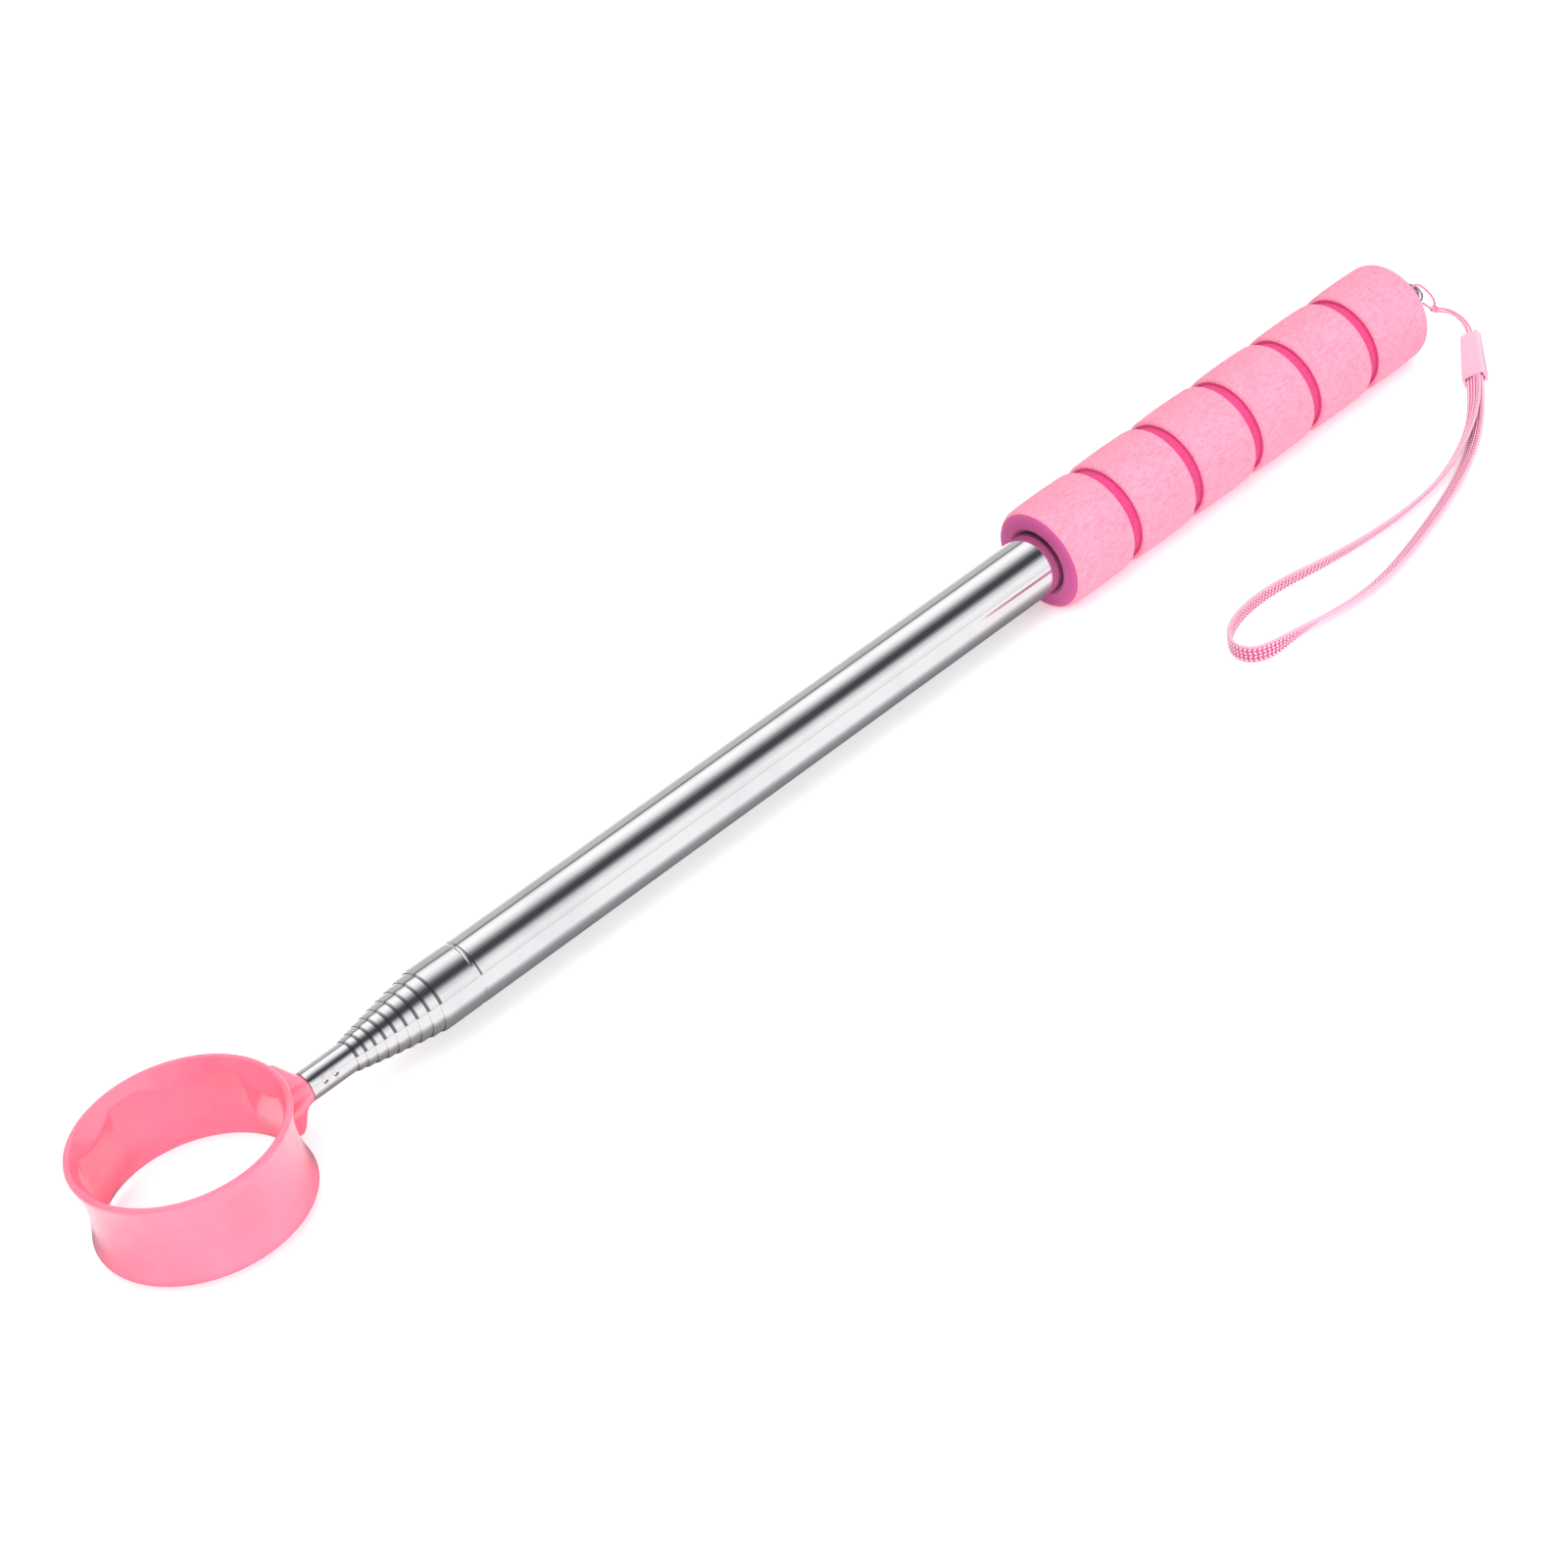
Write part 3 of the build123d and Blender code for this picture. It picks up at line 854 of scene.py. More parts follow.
@dataclass
class Lanyard:
    """String through the eye, its knot, the clip and the woven wrist loop.

    Routes are (x from the eye's centre, y, height) in millimetres. The tape's lean is its
    turn about its own line in degrees, one for each point of its route.
    """

    eye_x: float
    string_diameter: float = 0.7 * MM
    string_length: float = 0.0729
    strand_turns: float = 2.1 * MM
    tape_width: float = 4.5 * MM
    tape_thickness: float = 0.9 * MM
    tape_length: float = 0.2793
    stitch_pitch: float = 1.1 * MM
    stitch_columns: int = 4
    stitch_slant: float = 32
    stitch_height: float = 0.17 * MM
    string_step: float = 0.16 * MM
    tape_step: float = 0.7 * MM
    knot_place: Point = (6.9, -2.4, 7.0)
    knot_radius: float = 1.35 * MM
    string_route: tuple[Point, ...] = (
        (4.7, -16.2, 2.3), (8.9, -12.4, 1.9), (12.6, -8.2, 1.0), (14.8, -4.2, 1.1), (13.5, -1.7, 3.1),
        (9.3, -1.8, 5.7), (7.3, -2.0, 7.2), (7.8, -1.9, 9.0), (7.0, -1.2, 11.4), (5.4, -0.7, 13.9),
        (3.4, -0.1, 15.9), (1.4, 0.5, 15.0), (1.9, 0.9, 12.9), (3.1, -0.2, 11.2), (4.6, -1.5, 9.2),
        (6.4, -2.9, 6.8), (9.4, -2.9, 4.9), (12.6, -2.6, 3.0), (13.6, -4.8, 1.1), (11.6, -8.0, 1.1),
        (8.2, -11.7, 1.8), (4.1, -15.5, 2.3))
    tape_route: tuple[Point, ...] = (
        (-7.8, -26.9, 2.4), (-13.7, -32.2, 2.2), (-20.6, -37.9, 2.0), (-28.5, -43.8, 1.8),
        (-38.2, -49.4, 1.6), (-49.4, -54.4, 1.7), (-62.0, -58.9, 1.8), (-76.0, -62.8, 1.8),
        (-89.2, -65.9, 1.9), (-100.6, -66.7, 2.0), (-111.4, -65.1, 2.1), (-121.0, -63.5, 2.2),
        (-129.0, -63.2, 2.3), (-134.0, -60.8, 2.3), (-135.0, -55.8, 2.3), (-131.8, -50.8, 2.3),
        (-125.6, -47.3, 2.3), (-117.0, -45.8, 2.3), (-107.0, -46.6, 2.3), (-96.0, -49.6, 2.3),
        (-83.0, -51.9, 2.3), (-69.6, -52.9, 2.3), (-57.2, -52.0, 2.3), (-46.6, -49.6, 2.4),
        (-37.0, -45.9, 2.4), (-28.4, -41.8, 2.6), (-21.0, -37.0, 2.9), (-14.1, -31.7, 3.1),
        (-8.2, -26.5, 3.2))
    tape_lean: tuple[float, ...] = (
        33, 37, 42, 40, 34, 30, 27, 27, 30, 32, 36, 60, 88, 90, 90, 92, 97, 105, 112,
        119, 126, 128, 130, 131, 129, 131, 138, 143, 147)

    def curve(self, name: str, route: Sequence[Point],
              lean: Sequence[float] | None = None) -> Piece:
        """A smooth open line with the route's points as its control points.

        Args:
            name: The curve's name.
            route: The points, from the eye's centre, in millimetres.
            lean: Degrees of tilt at each point, or None.

        Returns:
            The curve, with no thickness.
        """
        data = bpy.data.curves.new(name, "CURVE")
        data.dimensions = "3D"
        data.twist_mode = "Z_UP"
        data.resolution_u = 12
        spline = data.splines.new("NURBS")
        spline.points.add(len(route) - 1)
        for number, (x, y, z) in enumerate(route):
            spline.points[number].co = (self.eye_x + x * MM, y * MM, z * MM, 1.0)
            spline.points[number].tilt = math.radians(lean[number]) if lean else 0.0
        spline.order_u = 3
        spline.use_endpoint_u = True
        made = bpy.data.objects.new(name, data)
        bpy.context.scene.collection.objects.link(made)
        return made

    @staticmethod
    def line_of(curve: Piece) -> list[list[float]]:
        """The points that a curve with no thickness runs through."""
        mesh = bpy.data.meshes.new_from_object(curve)
        points = [list(vertex.co) for vertex in mesh.vertices]
        bpy.data.meshes.remove(mesh)
        return points

    def add_string(self) -> Piece:
        """Three strands twisted round the string's line."""
        host = self.curve("string_line", self.string_route)
        line = self.line_of(host)
        recipe = Recipe("twisted_string")
        diameter, turn = recipe.size("Diameter"), recipe.size("Strand turn")
        fine = recipe.node("GeometryNodeResampleCurve", {"mode": "LENGTH"},
                           {"Curve": recipe.source.outputs["Geometry"], "Length": self.string_step})
        along = Value(recipe, recipe.node("GeometryNodeSplineParameter").outputs["Length"])
        kept = recipe.store(fine.outputs["Curve"], "along", along)
        twisted = recipe.node("GeometryNodeSetCurveTilt", None,
                              {"Curve": kept, "Tilt": along * (2 * math.pi) / turn})
        strand = recipe.node("GeometryNodeCurvePrimitiveCircle", None,
                             {"Resolution": 8, "Radius": diameter * 0.27})
        strands = []
        for third in range(3):
            angle = 2 * math.pi * third / 3
            place = recipe.node("ShaderNodeCombineXYZ", None,
                                {"X": diameter * (0.24 * math.cos(angle)),
                                 "Y": diameter * (0.24 * math.sin(angle))})
            moved = recipe.node("GeometryNodeTransform", None,
                                {"Geometry": strand.outputs["Curve"],
                                 "Translation": place.outputs["Vector"]})
            strands.append(moved.outputs["Geometry"])
        body = recipe.node("GeometryNodeCurveToMesh", None,
                           {"Curve": twisted.outputs["Curve"], "Profile Curve": recipe.join(strands),
                            "Fill Caps": True})
        yarn = Yarn("string_yarn", shade(248, 178, 205), shade(222, 120, 165)).make()
        string = recipe.run(host, "lanyard_cord", recipe.coated(body.outputs["Mesh"], yarn),
                            {"Diameter": self.string_diameter, "Strand turn": self.strand_turns})
        stand_for(string, Body.HANDLE.value, Slot.CORD, "lanyard_string")
        knot = self.add_knot(yarn)
        return string

    def add_knot(self, yarn: Material) -> Piece:
        """A tight overhand knot: one strand that crosses itself three times."""
        radius = self.string_diameter * 0.52
        reach = (self.knot_radius - radius) / 3
        x, y, z = self.knot_place
        place = Vector((self.eye_x + x * MM, y * MM, z * MM))
        turns = np.linspace(0, 2 * math.pi, 160, endpoint=False)

        def line(t: np.ndarray) -> np.ndarray:
            """Points of the knot's line at these turns."""
            return np.stack([np.sin(t) + 2 * np.sin(2 * t), np.cos(t) - 2 * np.cos(2 * t),
                             -1.25 * np.sin(3 * t)], -1)

        centre, ahead = line(turns), line(turns + 1e-3)
        tangent = ahead - centre
        tangent /= np.linalg.norm(tangent, axis=1)[:, None]
        side = np.cross(tangent, np.array([0.31, 0.22, 0.92]))
        side /= np.linalg.norm(side, axis=1)[:, None]
        up = np.cross(side, tangent)
        angles = np.arange(10) * (2 * math.pi / 10)
        ring = (side[:, None] * np.cos(angles)[None, :, None]
                + up[:, None] * np.sin(angles)[None, :, None])
        points = np.array(place) + centre[:, None] * reach + ring * radius
        knot = sheet_of_points("cord_knot", points, yarn, 180.0)
        return stand_for(knot, Body.HANDLE.value, Slot.CORD, "string_knot")

    def add_tape(self) -> Piece:
        """The woven tape, leaning and twisting along its line, with raised stitches on both faces."""
        host = self.curve("tape_line", self.tape_route, self.tape_lean)
        line = self.line_of(host)
        recipe = Recipe("woven_tape")
        width, thickness = recipe.size("Width"), recipe.size("Thickness")
        pitch = recipe.size("Stitch pitch")
        fine = recipe.node("GeometryNodeResampleCurve", {"mode": "LENGTH"},
                           {"Curve": recipe.source.outputs["Geometry"], "Length": self.tape_step})
        along = recipe.node("GeometryNodeSplineParameter").outputs["Length"]
        kept = recipe.store(fine.outputs["Curve"], "along", along)
        section = recipe.node("GeometryNodeCurvePrimitiveQuadrilateral", None,
                              {"Width": width, "Height": thickness})
        softened = recipe.node("GeometryNodeFilletCurve", {"mode": "POLY"},
                               {"Curve": section.outputs["Curve"], "Count": 4,
                                "Radius": thickness * 0.48})
        spaced = recipe.node("GeometryNodeResampleCurve", {"mode": "LENGTH"},
                             {"Curve": softened.outputs["Curve"], "Length": 0.3 * MM})
        place = recipe.node("GeometryNodeInputPosition").outputs["Position"]
        across = recipe.node("ShaderNodeSeparateXYZ", None, {"Vector": place}).outputs["X"]
        profile = recipe.store(spaced.outputs["Curve"], "across", across)
        body = recipe.node("GeometryNodeCurveToMesh", None,
                           {"Curve": kept, "Profile Curve": profile, "Fill Caps": True})
        ground = recipe.coated(body.outputs["Mesh"], TapeGround(self.tape_width).make())
        stations = recipe.node("GeometryNodeCurveToPoints", {"mode": "LENGTH"},
                               {"Curve": recipe.source.outputs["Geometry"], "Length": pitch})
        facing = recipe.node("FunctionNodeAxesToRotation",
                             {"primary_axis": "X", "secondary_axis": "Y"},
                             {0: stations.outputs["Tangent"], 1: stations.outputs["Normal"]})
        row = recipe.node("GeometryNodeInstanceOnPoints", None,
                          {"Points": stations.outputs["Points"],
                           "Instance": self._stitch_row(recipe, thickness),
                           "Rotation": facing.outputs["Rotation"]})
        yarn = Yarn("tape_stitch", shade(255, 238, 245), shade(244, 192, 214)).make()
        stitches = recipe.coated(row.outputs["Instances"], yarn)
        tape = recipe.run(host, "wrist_loop", recipe.join([ground, stitches]),
                          {"Width": self.tape_width, "Thickness": self.tape_thickness,
                           "Stitch pitch": self.stitch_pitch})
        stand_for(tape, Body.HANDLE.value, Slot.WEAVE, "wrist_strap")
        return tape

    def _stitch_row(self, recipe: Recipe, thickness: Value) -> Socket:
        """One row of slanting stitches on both faces of the tape.

        Args:
            recipe: The tree that it is made in.
            thickness: The tape's thickness.

        Returns:
            The row, with X along the tape and Y across it.
        """
        bead = recipe.node("GeometryNodeMeshIcoSphere", None, {"Radius": 1.0, "Subdivisions": 1})
        stitches = []
        column = self.tape_width * 0.86 / self.stitch_columns
        size = (self.stitch_pitch * 0.46, column * 0.3, self.stitch_height)
        for face in (-1, 1):
            for number in range(self.stitch_columns):
                slant = math.radians(self.stitch_slant) * (-1) ** number * face
                out = recipe.node("ShaderNodeCombineXYZ", None,
                                  {"Y": column * (number - (self.stitch_columns - 1) / 2),
                                   "Z": thickness * (0.49 * face)})
                placed_one = recipe.node("GeometryNodeTransform", None,
                                         {"Geometry": bead.outputs["Mesh"],
                                          "Translation": out.outputs["Vector"],
                                          "Rotation": (0.0, 0.0, slant), "Scale": size})
                stitches.append(placed_one.outputs["Geometry"])
        return recipe.join(stitches)

    def build(self) -> None:
        """String and knot, clip, then the wrist loop."""
        plastic = Moulding("clip_plastic", shade(253, 192, 212), shade(249, 166, 194),
                           roughness=0.2, ripple=0.05 * MM, translucency=0.3)
        ferrule = dress("lanyard_ferrule", plastic.make())
        self.add_string()
        self.add_tape()
        LOG.info("lanyard ready")


# ---------------------------------------------------------------- telescope


@dataclass
class Telescope:
    """Ten nested tubes, each turned from its own profile."""

    axis_height: float
    count: int = 10
    wall: float = 0.28 * MM
    lip_length: float = 1.2 * MM
    lip_step: float = 0.3 * MM
    lip_clearance: float = 0.06 * MM
    mouth_gap: float = 0.09 * MM
    nose_length: float = 0.8 * MM
    nose_fullness: float = 1.25
    # How far back from each tube's front the painted joint shade reaches.
    painted_shade_length: float = 0.5 * MM
    bead_from_front: float = 11.6 * MM
    bead_width: float = 1.3 * MM
    bead_depth: float = 0.25 * MM
    bead_inside: float = 0.13 * MM
    dimple_from_end: Pair = (3.5 * MM, 6.4 * MM)
    dimple_angle: float = 17.0
    dimple_depth: float = 0.34 * MM
    dimple_radius: float = 0.62 * MM
    dimple_edge: float = 0.03 * MM
    crimp_waves: int = 5
    crimp_depth: float = 0.035 * MM
    crimp_reach: float = 1.1 * MM
    fine_length: float = 9.5 * MM
    fine_step: float = 0.13 * MM
    long_step: float = 40 * MM
    steps_round: int = 144

    def radius(self, number: int) -> float:
        """The outside radius of a tube."""
        return greatest_radius(f"tube_{number}", self.axis_height)

    def profile(self, number: int) -> list[Pair]:
        """The section of tube NUMBER, lip first and then round the outside to the bore."""
        low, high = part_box(f"tube_{number}")
        front, rear, radius = low.x, high.x, self.radius(number)
        bore = radius - self.wall
        lip_bore = self.radius(number + 1) + self.lip_clearance
        mouth = lip_bore + self.mouth_gap
        made = [(front + 0.4 * MM, lip_bore), (front + 0.12 * MM, lip_bore + 0.04 * MM)]
        made += [(front + self.nose_length * share,
                  radius - (radius - mouth) * (1 - share) ** self.nose_fullness)
                 for share in np.linspace(0, 1, 13)]
        if number == 1:
            middle = front + self.bead_from_front
            made += self._bead(middle, radius, self.bead_depth)
        made += divided((made[-1][0], radius), (rear, radius), self.long_step)[1:]
        made += [(rear, radius), (rear, bore)]
        if number == 1:
            made += self._bead(middle, bore, self.bead_inside)[::-1]
        made += [(front + self.lip_length + self.lip_step, bore), (front + self.lip_length, lip_bore)]
        return made

    def _bead(self, middle: float, radius: float, depth: float) -> list[Pair]:
        """A rolled groove: half a wave in from the radius."""
        shares = [step / 10 for step in range(11)]
        return [(middle + self.bead_width * (share - 0.5), radius - depth * math.sin(math.pi * share))
                for share in shares]

    def _paint_joint_shade(self, tube: Piece, number: int, painted_shade_steel: Material) -> None:
        """Gives the faces in the joint, and along the bead's two edges, a near-black steel: painted
        shade in the joint and painted dark reflections along the bead.
        """
        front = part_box(f"tube_{number}")[0].x
        edges = [(front, front + self.painted_shade_length)]
        if number == 1:
            for side in (-1, 1):
                middle = front + self.bead_from_front + side * self.bead_width * 0.36
                edges.append((middle - self.bead_width * 0.11, middle + self.bead_width * 0.11))
        tube.data.materials.append(painted_shade_steel)
        for face in tube.data.polygons:
            if any(low < face.center.x < high for low, high in edges):
                face.material_index = 1

    def tip_points(self) -> np.ndarray:
        """The last tube's surface: cut square, slightly crimped and punched twice each side."""
        low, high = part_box(f"tube_{self.count}")
        front, rear, radius = low.x, high.x, self.radius(self.count)
        bore = radius - self.wall
        crimped = front + self.fine_length
        profile = [(front, bore), (front + 0.05 * MM, radius - 0.03 * MM)]
        profile += divided((front + 0.1 * MM, radius), (crimped, radius), self.fine_step)
        profile += divided((crimped, radius), (rear, radius), self.long_step)
        profile += [(rear, radius), (rear, bore)]
        profile += divided((crimped, bore), (front, bore), self.fine_step)[:-1]
        points = round_the_axis(profile, self.axis_height, 2 * self.steps_round)
        out = points[:, :, 1:] - np.array([0.0, self.axis_height])
        size = np.linalg.norm(out, axis=2, keepdims=True)
        unit = out / size
        shift = np.zeros(points.shape[:2])
        along = points[:, :, 0] - front
        wave = np.cos(self.crimp_waves * np.arctan2(unit[:, :, 0], unit[:, :, 1]) + 0.6)
        shift -= self.crimp_depth * (1 + wave) * np.exp(-(along / self.crimp_reach) ** 2)
        for side in (-1, 1):
            angle = math.radians(self.dimple_angle)
            facing = np.array([side * math.cos(angle), -side * math.sin(angle)])
            around = np.arccos(np.clip(unit @ facing, -1, 1)) * radius
            for distance in self.dimple_from_end:
                away = np.hypot(along - distance, around) / self.dimple_radius
                raised = self.dimple_edge * np.exp(-((away - 1.5) / 0.4) ** 2)
                shift -= self.dimple_depth * np.exp(-away ** 4) - raised
        points[:, :, 1:] += unit * shift[:, :, None]
        return points

    def build(self) -> None:
        """All the tubes, each in place of its CAD node, and the sleeves inside them."""
        steel = PolishedSteel().make()
        # A near-black steel: painted shade in the joints and painted dark reflections along the bead's
        # edges.
        painted_shade_steel = PolishedSteel("stainless_painted_shade", (0.07, 0.068, 0.075, 1), (0.1, 0.098, 0.1, 1),
                               roughness=0.32).make()
        bodies = {1: Body.HANDLE.value, self.count: Body.PICKUP_HEAD.value}
        for number in range(1, self.count + 1):
            name = f"steel_tube_{number}"
            if number == self.count:
                tube = sheet_of_points(name, self.tip_points(), steel, 30.0)
            else:
                tube = turned(name, self.profile(number), self.axis_height, self.steps_round, steel,
                              30.0)
            if number < self.count:
                # Painted shade in each joint, and on tube 1 painted dark reflections beside the bead.
                self._paint_joint_shade(tube, number, painted_shade_steel)
            stand_for(tube, bodies.get(number, f"section_{number}"), Slot.STEEL, f"tube_{number}")
        bronze = PlainMetal("spring_bronze", (0.62, 0.42, 0.20, 1), (0.72, 0.52, 0.28, 1), 0.3).make()
        for number in range(2, self.count + 1):
            dress(f"friction_sleeve_{number}", bronze)
        LOG.info("%d tubes and their sleeves ready", self.count)


# ---------------------------------------------------------------- pickup head


@dataclass
class PickupHead:
    """The ball ring with six flats, its webbed neck and the plug inside the tip tube."""

    axis_height: float
    across_flats: float = 41.8 * MM
    height: float = 21.8 * MM
    outer_radius: float = 25.0 * MM
    waist_radius: float = 23.5 * MM
    corner_radius: float = 22.2 * MM
    top_mouth: float = 23.2 * MM
    bottom_mouth: float = 22.6 * MM
    top_lead: float = 4.0 * MM
    bottom_lead: float = 2.9 * MM
    boss_radius: float = 3.7 * MM
    web_thickness: float = 4.2 * MM
    shelf_thickness: float = 2.2 * MM
    plug_radius: float = 3.0 * MM
    plug_length: float = 15.0 * MM
    softness: float = 0.14 * MM
    rim_rise: float = 0.85 * MM
    rim_end: float = math.radians(24)
    steps_round: int = 600
    # Upright web beside the tube, as (back from the tube's end, height above the axis).
    web_top: tuple[Pair, ...] = ((0.1, 3.3), (0.5, 3.75), (4.3, 8.9), (5.2, 9.3))
    web_bottom: tuple[Pair, ...] = (
        (0.1, 3.3), (1.3, 3.75), (1.9, 4.4), (3.3, 7.6), (4.2, 8.9), (4.9, 9.0))
    # Gate and ejector marks inside the ring, as (degrees round it, height, depth, size).
    marks: tuple[tuple[float, float, float, float], ...] = (
        (168.0, 8.6, 0.12, 1.1), (176.0, 7.7, 0.09, 0.8), (196.0, 8.3, 0.1, 0.9),
        (201.0, 6.9, 0.12, 0.7), (24.0, 4.2, 0.08, 1.2))

    def _softer(self, first: np.ndarray, second: np.ndarray, sign: float) -> np.ndarray:
        """The greater of two radii for sign 1 or the lesser for -1, with a rounded change between."""
        return (first + second + sign * np.sqrt((first - second) ** 2 + self.softness ** 2)) / 2

    def inner_radius(self, angle: np.ndarray, z: np.ndarray) -> np.ndarray:
        """The inside of the ring.

        Args:
            angle: Radians round the ring from the neck.
            z: Height above the ring's middle.

        Returns:
            The radius there: six flats and round corners between two sloped mouths.
        """
        flat = self.across_flats / 2
        folded = np.abs((angle + math.pi / 6) % (math.pi / 3) - math.pi / 6)
        wall = self._softer(flat / np.cos(folded), np.full_like(folded, self.corner_radius), -1)
        upper = self.height / 2 - self.rim_rise
        lower = -upper
        top = self.top_mouth + (z - upper) * (self.top_mouth - flat) / self.top_lead
        bottom = self.bottom_mouth - (z - lower) * (self.bottom_mouth - flat) / self.bottom_lead
        inside = self._softer(self._softer(top, bottom, 1), wall, 1)
        for place, up, depth, size in self.marks:
            turn = (angle - math.radians(place) + math.pi) % (2 * math.pi) - math.pi
            away = np.hypot(turn * flat, z - up * MM) / (size * MM)
            edge = 0.5 * np.exp(-((away - 1.2) / 0.3) ** 2)
            inside = inside + depth * MM * (np.exp(-away ** 4) - edge)
        return inside

    def ring_points(self, centre_x: float) -> np.ndarray:
        """The ring's surface, as rings of points round it from the outside over both rims."""
        upper = self.height / 2 - self.rim_rise
        lower = -upper
        angle = np.arange(self.steps_round) * (2 * math.pi / self.steps_round)
        rows: list[tuple[np.ndarray, np.ndarray]] = []
        full = np.ones_like(angle)
        for z in np.linspace(lower, upper, 24):
            span = upper if z > 0 else -lower
            waist = self.outer_radius - (self.outer_radius - self.waist_radius) * (1 - (z / span) ** 2)
            rows.append((waist * full, z * full))
        rows += self._rim(angle, upper, 1)
        past = self.rim_rise * math.sin(self.rim_end)
        for z in np.linspace(upper + past, lower - past, 80)[1:-1]:
            rows.append((self.inner_radius(angle, z * full), z * full))
        rows += self._rim(angle, lower, -1)[::-1]
        points = np.empty((len(rows), self.steps_round, 3))
        for row, (radius, z) in enumerate(rows):
            points[row] = np.stack([centre_x + radius * np.cos(angle), radius * np.sin(angle),
                                    self.axis_height + z], -1)
        return points

    def _rim(self, angle: np.ndarray, level: float, side: int) -> list[tuple[np.ndarray, np.ndarray]]:
        """A rounded rim, at the top (side 1) or the bottom (-1).

        Args:
            angle: Radians round the ring from the neck.
            level: The height where the rim starts, from the ring's middle.
            side: 1 upwards and -1 downwards.

        Returns:
            Its (radius, height) rows, from the outside to where it meets the mouth's slope.
        """
        past = self.rim_rise * math.sin(self.rim_end)
        inside = self.inner_radius(angle, np.full_like(angle, level + side * past))
        half = (self.outer_radius - inside) / (1 + math.cos(self.rim_end))
        return [(self.outer_radius - half * (1 - math.cos(turn)),
                 level + side * self.rim_rise * math.sin(turn) * np.ones_like(angle))
                for turn in np.linspace(0, math.pi - self.rim_end, 15)[1:]]

    def plate(self, name: str, outline: Sequence[Pair], thickness: float, upright: bool,
              material: Material) -> Piece:
        """A flat web with rounded edges.

        Args:
            name: Its name while it is being made.
            outline: (x, out from the axis) points round it.
            thickness: Its thickness.
            upright: Whether it stands in the tool's vertical plane or lies level.
            material: Its material.

        Returns:
            The web as a closed mesh.
        """
        count, half = len(outline), thickness / 2
        points = []
        height = self.axis_height
        for side in (-half, half):
            for x, out in outline:
                points.append((x, side, height + out) if upright else (x, out, height + side))
        faces = [tuple(range(count))[::-1], tuple(range(count, 2 * count))]
        faces += [(k, (k + 1) % count, (k + 1) % count + count, k + count) for k in range(count)]
        mesh = bpy.data.meshes.new(name)
        mesh.from_pydata(points, [], faces)
        mesh.materials.append(material)
        web = placed(name, mesh)
        bevel = web.modifiers.new("edges", "BEVEL")
        bevel.width, bevel.segments, bevel.limit_method = 0.55 * MM, 3, "ANGLE"
        bevel.angle_limit = math.radians(40)
        return web

    def build(self) -> None:
        """Makes the one moulding from the ring, the boss with its plug, and the two webs."""
        low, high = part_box("ring_head")
        centre_x = low.x + self.outer_radius
        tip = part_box("tube_10")[0].x
        wall = centre_x + self.across_flats / 2 + 1.6 * MM
        plastic = Moulding("ring_plastic", shade(255, 130, 156), shade(255, 98, 124), roughness=0.12,
                           ripple=0.32 * MM, translucency=0.3, lacquer=0.6).make()
        ring = sheet_of_points("ball_ring", self.ring_points(centre_x), plastic, 60.0)
        boss_profile = ([(wall, 0.02 * MM), (wall, self.boss_radius + 0.9 * MM),
                         (tip - 3.4 * MM, self.boss_radius + 0.35 * MM)]
                        + rounded((tip - 0.33 * MM, self.boss_radius - 0.25 * MM), 0.25 * MM, 90, 0, 4)
                        + [(tip - 0.08 * MM, self.plug_radius),
                           (tip + self.plug_length, self.plug_radius - 0.2 * MM),
                           (tip + self.plug_length, 0.02 * MM)])
        boss = turned("boss", boss_profile, self.axis_height, 96, plastic)
        top = [(tip - back * MM, out * MM) for back, out in self.web_top]
        bottom = [(tip - back * MM, -out * MM) for back, out in self.web_bottom]
        inner = wall + 0.9 * MM
        outline = [*top, (inner, self.web_top[-1][1] * MM), (inner, -self.web_bottom[-1][1] * MM),
                   *bottom[::-1]]
        upright = self.plate("upright_web", outline, self.web_thickness, True, plastic)
        half = [(tip, self.boss_radius - 0.2 * MM), (tip - 3.2 * MM, 5.1 * MM),
                (tip - 5.3 * MM, 6.1 * MM), (wall - 0.2 * MM, 6.3 * MM)]
        outline = half + [(x, -out) for x, out in reversed(half)]
        level = self.plate("level_web", outline, self.shelf_thickness, False, plastic)
        self._unite(ring, [boss, upright, level])
        stand_for(ring, Body.PICKUP_HEAD.value, Slot.MOULDING, "ring_head")
        LOG.info("pickup head ready: %d faces", len(ring.data.polygons))

    @staticmethod
    def _unite(ring: Piece, parts: Sequence[Piece]) -> None:
        """Fuses closed parts into the ring, and removes them."""
        for part in parts:
            union = ring.modifiers.new(part.name, "BOOLEAN")
            union.operation, union.solver, union.object = "UNION", "EXACT", part
        graph = bpy.context.evaluated_depsgraph_get()
        mesh = bpy.data.meshes.new_from_object(ring.evaluated_get(graph), depsgraph=graph)
        ring.modifiers.clear()
        ring.data = mesh
        mesh.shade_smooth()
        mesh.set_sharp_from_angle(angle=math.radians(50))
        for part in parts:
            bpy.data.objects.remove(part)


# ---------------------------------------------------------------- handle


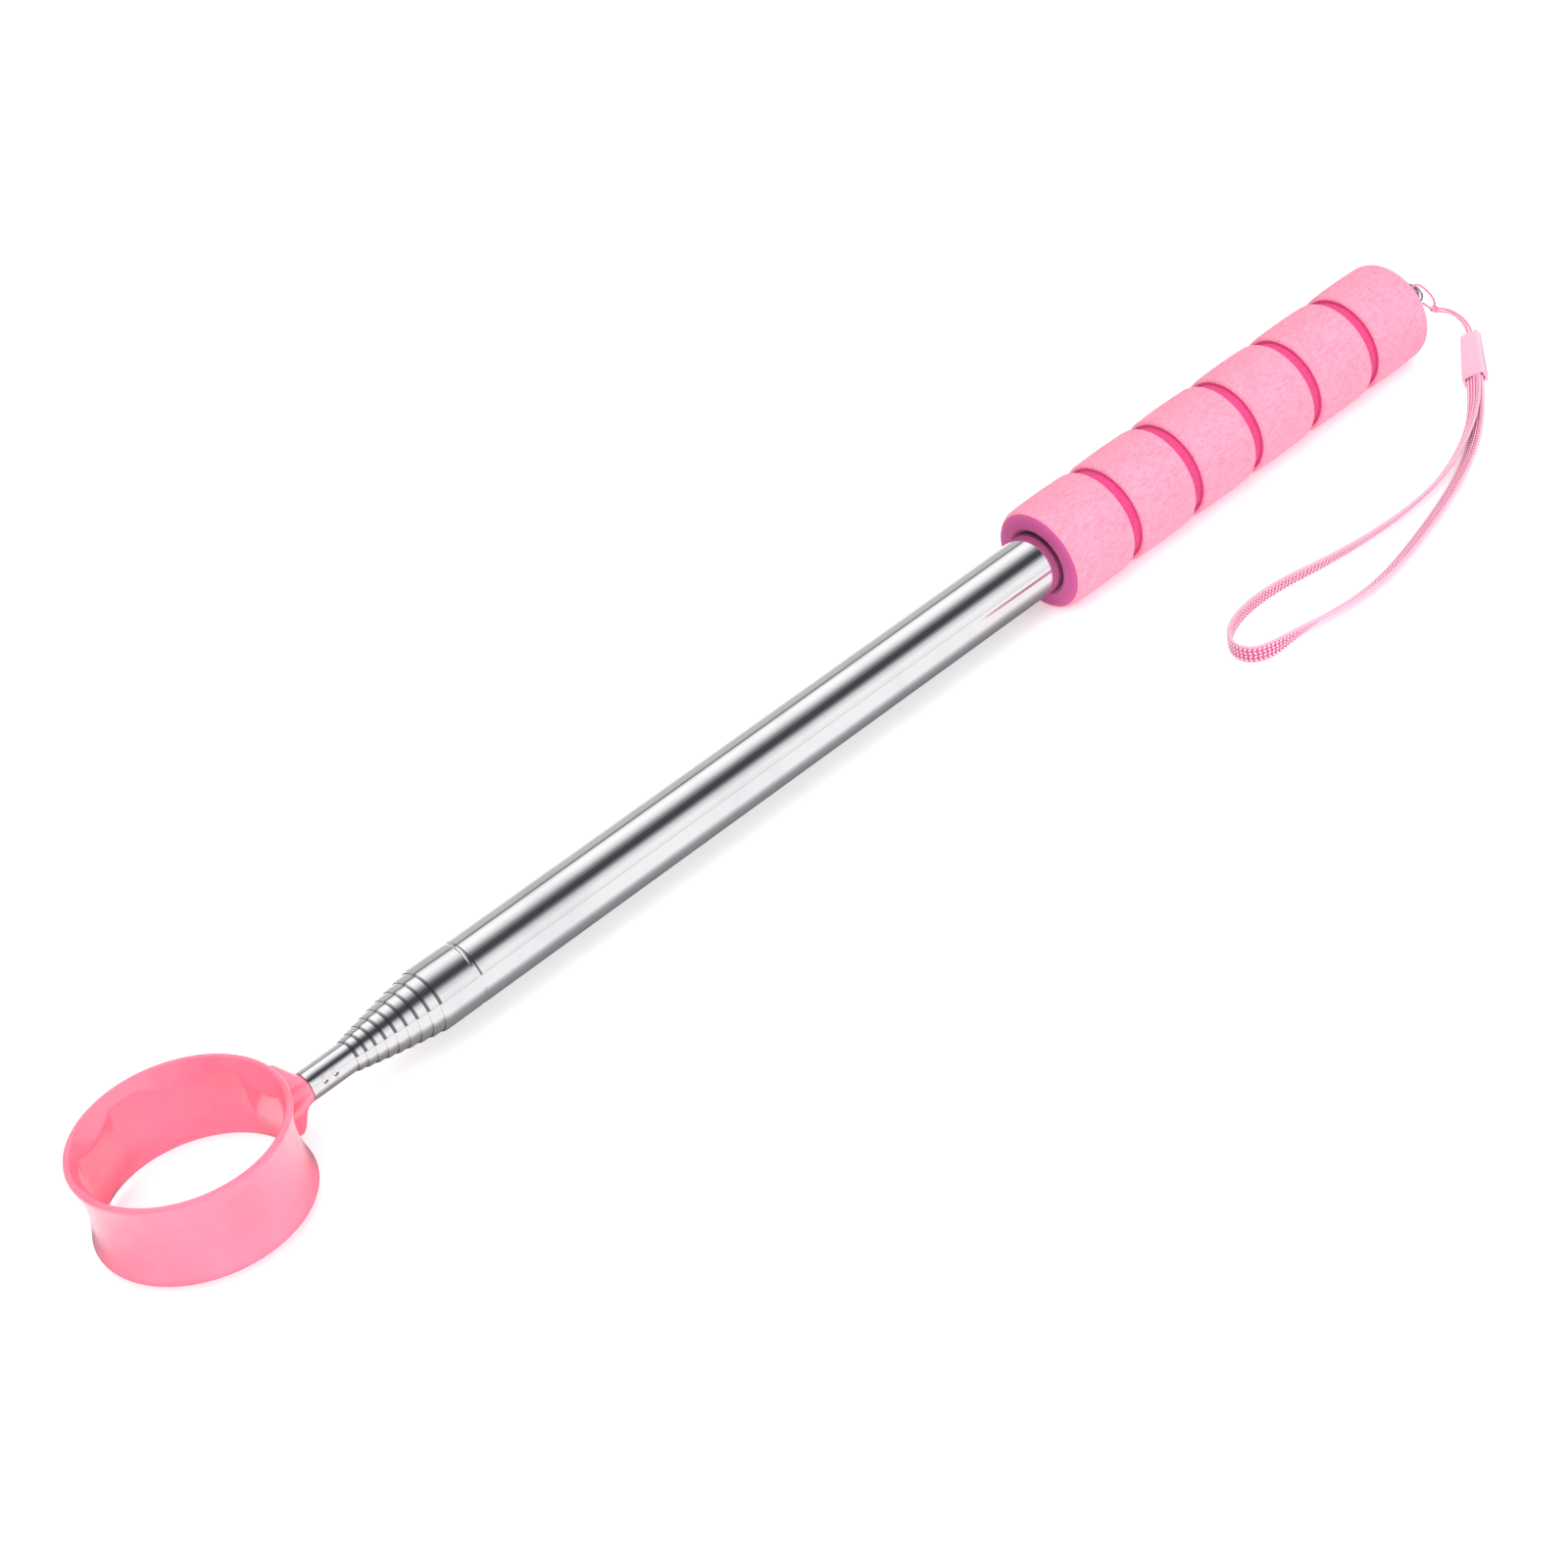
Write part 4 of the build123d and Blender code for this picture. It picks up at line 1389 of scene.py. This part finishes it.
@dataclass
class Handle:
    """The foam grip, the plug behind it and the wire eye."""

    axis_height: float
    groove_count: int = 5
    first_groove: float = 22.5 * MM
    last_groove: float = 22.3 * MM
    groove_width: float = 3.1 * MM
    groove_depth: float = 1.7 * MM
    crown: float = 0.18 * MM
    front_round: float = 2.5 * MM
    cup_width: float = 1.0 * MM
    cup_depth: float = 1.5 * MM
    rear_round: float = 3.2 * MM
    edge_round: float = 1.15 * MM
    sanding: float = 0.2 * MM
    steps_round: int = 280
    step_along: float = 0.62 * MM
    bore_step: float = 8 * MM

    def grip_profile(self, front: float, rear: float, crest: float, bore: float) -> list[Pair]:
        """The foam's section: crowned segments between square grooves with softened edges."""
        shoulder, floor = crest - self.crown, crest - self.crown - self.groove_depth
        pitch = (rear - front - self.first_groove - self.last_groove) / (self.groove_count - 1)
        start = (front + self.front_round, shoulder)
        inner, stretch = front + self.cup_depth, self.cup_depth / self.cup_width
        made = rounded((inner, bore + self.cup_width), self.cup_width, 270, 180, 5)
        made = [(inner - (inner - x) * stretch, out) for x, out in made]
        face = (front, bore + self.cup_width), (front, shoulder - self.front_round)
        made += divided(*face, self.step_along)[1:]
        made += rounded((start[0], shoulder - self.front_round), self.front_round, 180, 90, 6)
        soft = self.edge_round
        for number in range(self.groove_count):
            middle = front + self.first_groove + number * pitch
            low, high = middle - self.groove_width / 2, middle + self.groove_width / 2
            made += self._crowned(made[-1], (low - soft, shoulder))
            made += rounded((low - soft, shoulder - soft), soft, 90, 0, 4)
            made += divided((low, shoulder - soft), (low, floor), 0.4 * MM)[1:]
            made += divided((low, floor), (high, floor), 0.4 * MM)
            made += divided((high, floor), (high, shoulder - soft), 0.4 * MM)
            made += rounded((high + soft, shoulder - soft), soft, 180, 90, 4)
        made += self._crowned(made[-1], (rear - self.rear_round, shoulder))
        centre = (rear - self.rear_round, shoulder - self.rear_round)
        made += rounded(centre, self.rear_round, 90, 0, 10)
        made += divided((rear, shoulder - self.rear_round), (rear, bore), self.step_along)[1:]
        made += divided((rear, bore), (inner, bore), self.bore_step)
        return made

    def _crowned(self, start: Pair, end: Pair) -> list[Pair]:
        """A segment's slightly swollen top, without its two ends."""
        points = divided(start, end, self.step_along)[1:]
        length = end[0] - start[0]
        return [(x, out + self.crown * 4 * ((x - start[0]) / length) * (1 - (x - start[0]) / length))
                for x, out in points]

    def add_grip(self) -> Piece:
        """The foam sleeve, with its surface a little uneven as sanding leaves it."""
        low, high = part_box("foam_grip")
        crest = greatest_radius("foam_grip", self.axis_height)
        bore = greatest_radius("tube_1", self.axis_height)
        foam = Foam(crest, bore, low.x, high.x, self.axis_height).make()
        grip = turned("foam_sleeve", self.grip_profile(low.x, high.x, crest, bore), self.axis_height,
                      self.steps_round, foam, 70.0, self.sanding, bore + 1.0 * MM)
        stand_for(grip, Body.HANDLE.value, Slot.FOAM, "foam_grip")
        return grip

    def build(self) -> None:
        """Grip, plug and eye."""
        grip = self.add_grip()
        turned_steel = PlainMetal("turned_steel", (0.5, 0.5, 0.51, 1), (0.62, 0.62, 0.63, 1), 0.34)
        plating = PlainMetal("eye_plating", (0.8, 0.8, 0.82, 1), (0.86, 0.86, 0.87, 1), 0.045,
                             lines=(500.0, 500.0, 500.0))
        dress("end_plug", turned_steel.make())
        dress("lanyard_eye", plating.make())
        LOG.info("handle ready: grip has %d faces", len(grip.data.polygons))


def main() -> None:
    """Builds the studio and every sub-assembly, placed from the grip's and the eye's boxes."""
    logging.basicConfig(level=logging.INFO, format="%(name)s: %(message)s")
    grip_low, grip_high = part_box("foam_grip")
    axis_height = (grip_low.z + grip_high.z) / 2
    eye_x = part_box("lanyard_eye")[1].x - EYE_REACH
    Studio().build()
    Lanyard(eye_x).build()
    Telescope(axis_height).build()
    PickupHead(axis_height).build()
    Handle(axis_height).build()


if __name__ == "__main__":
    main()
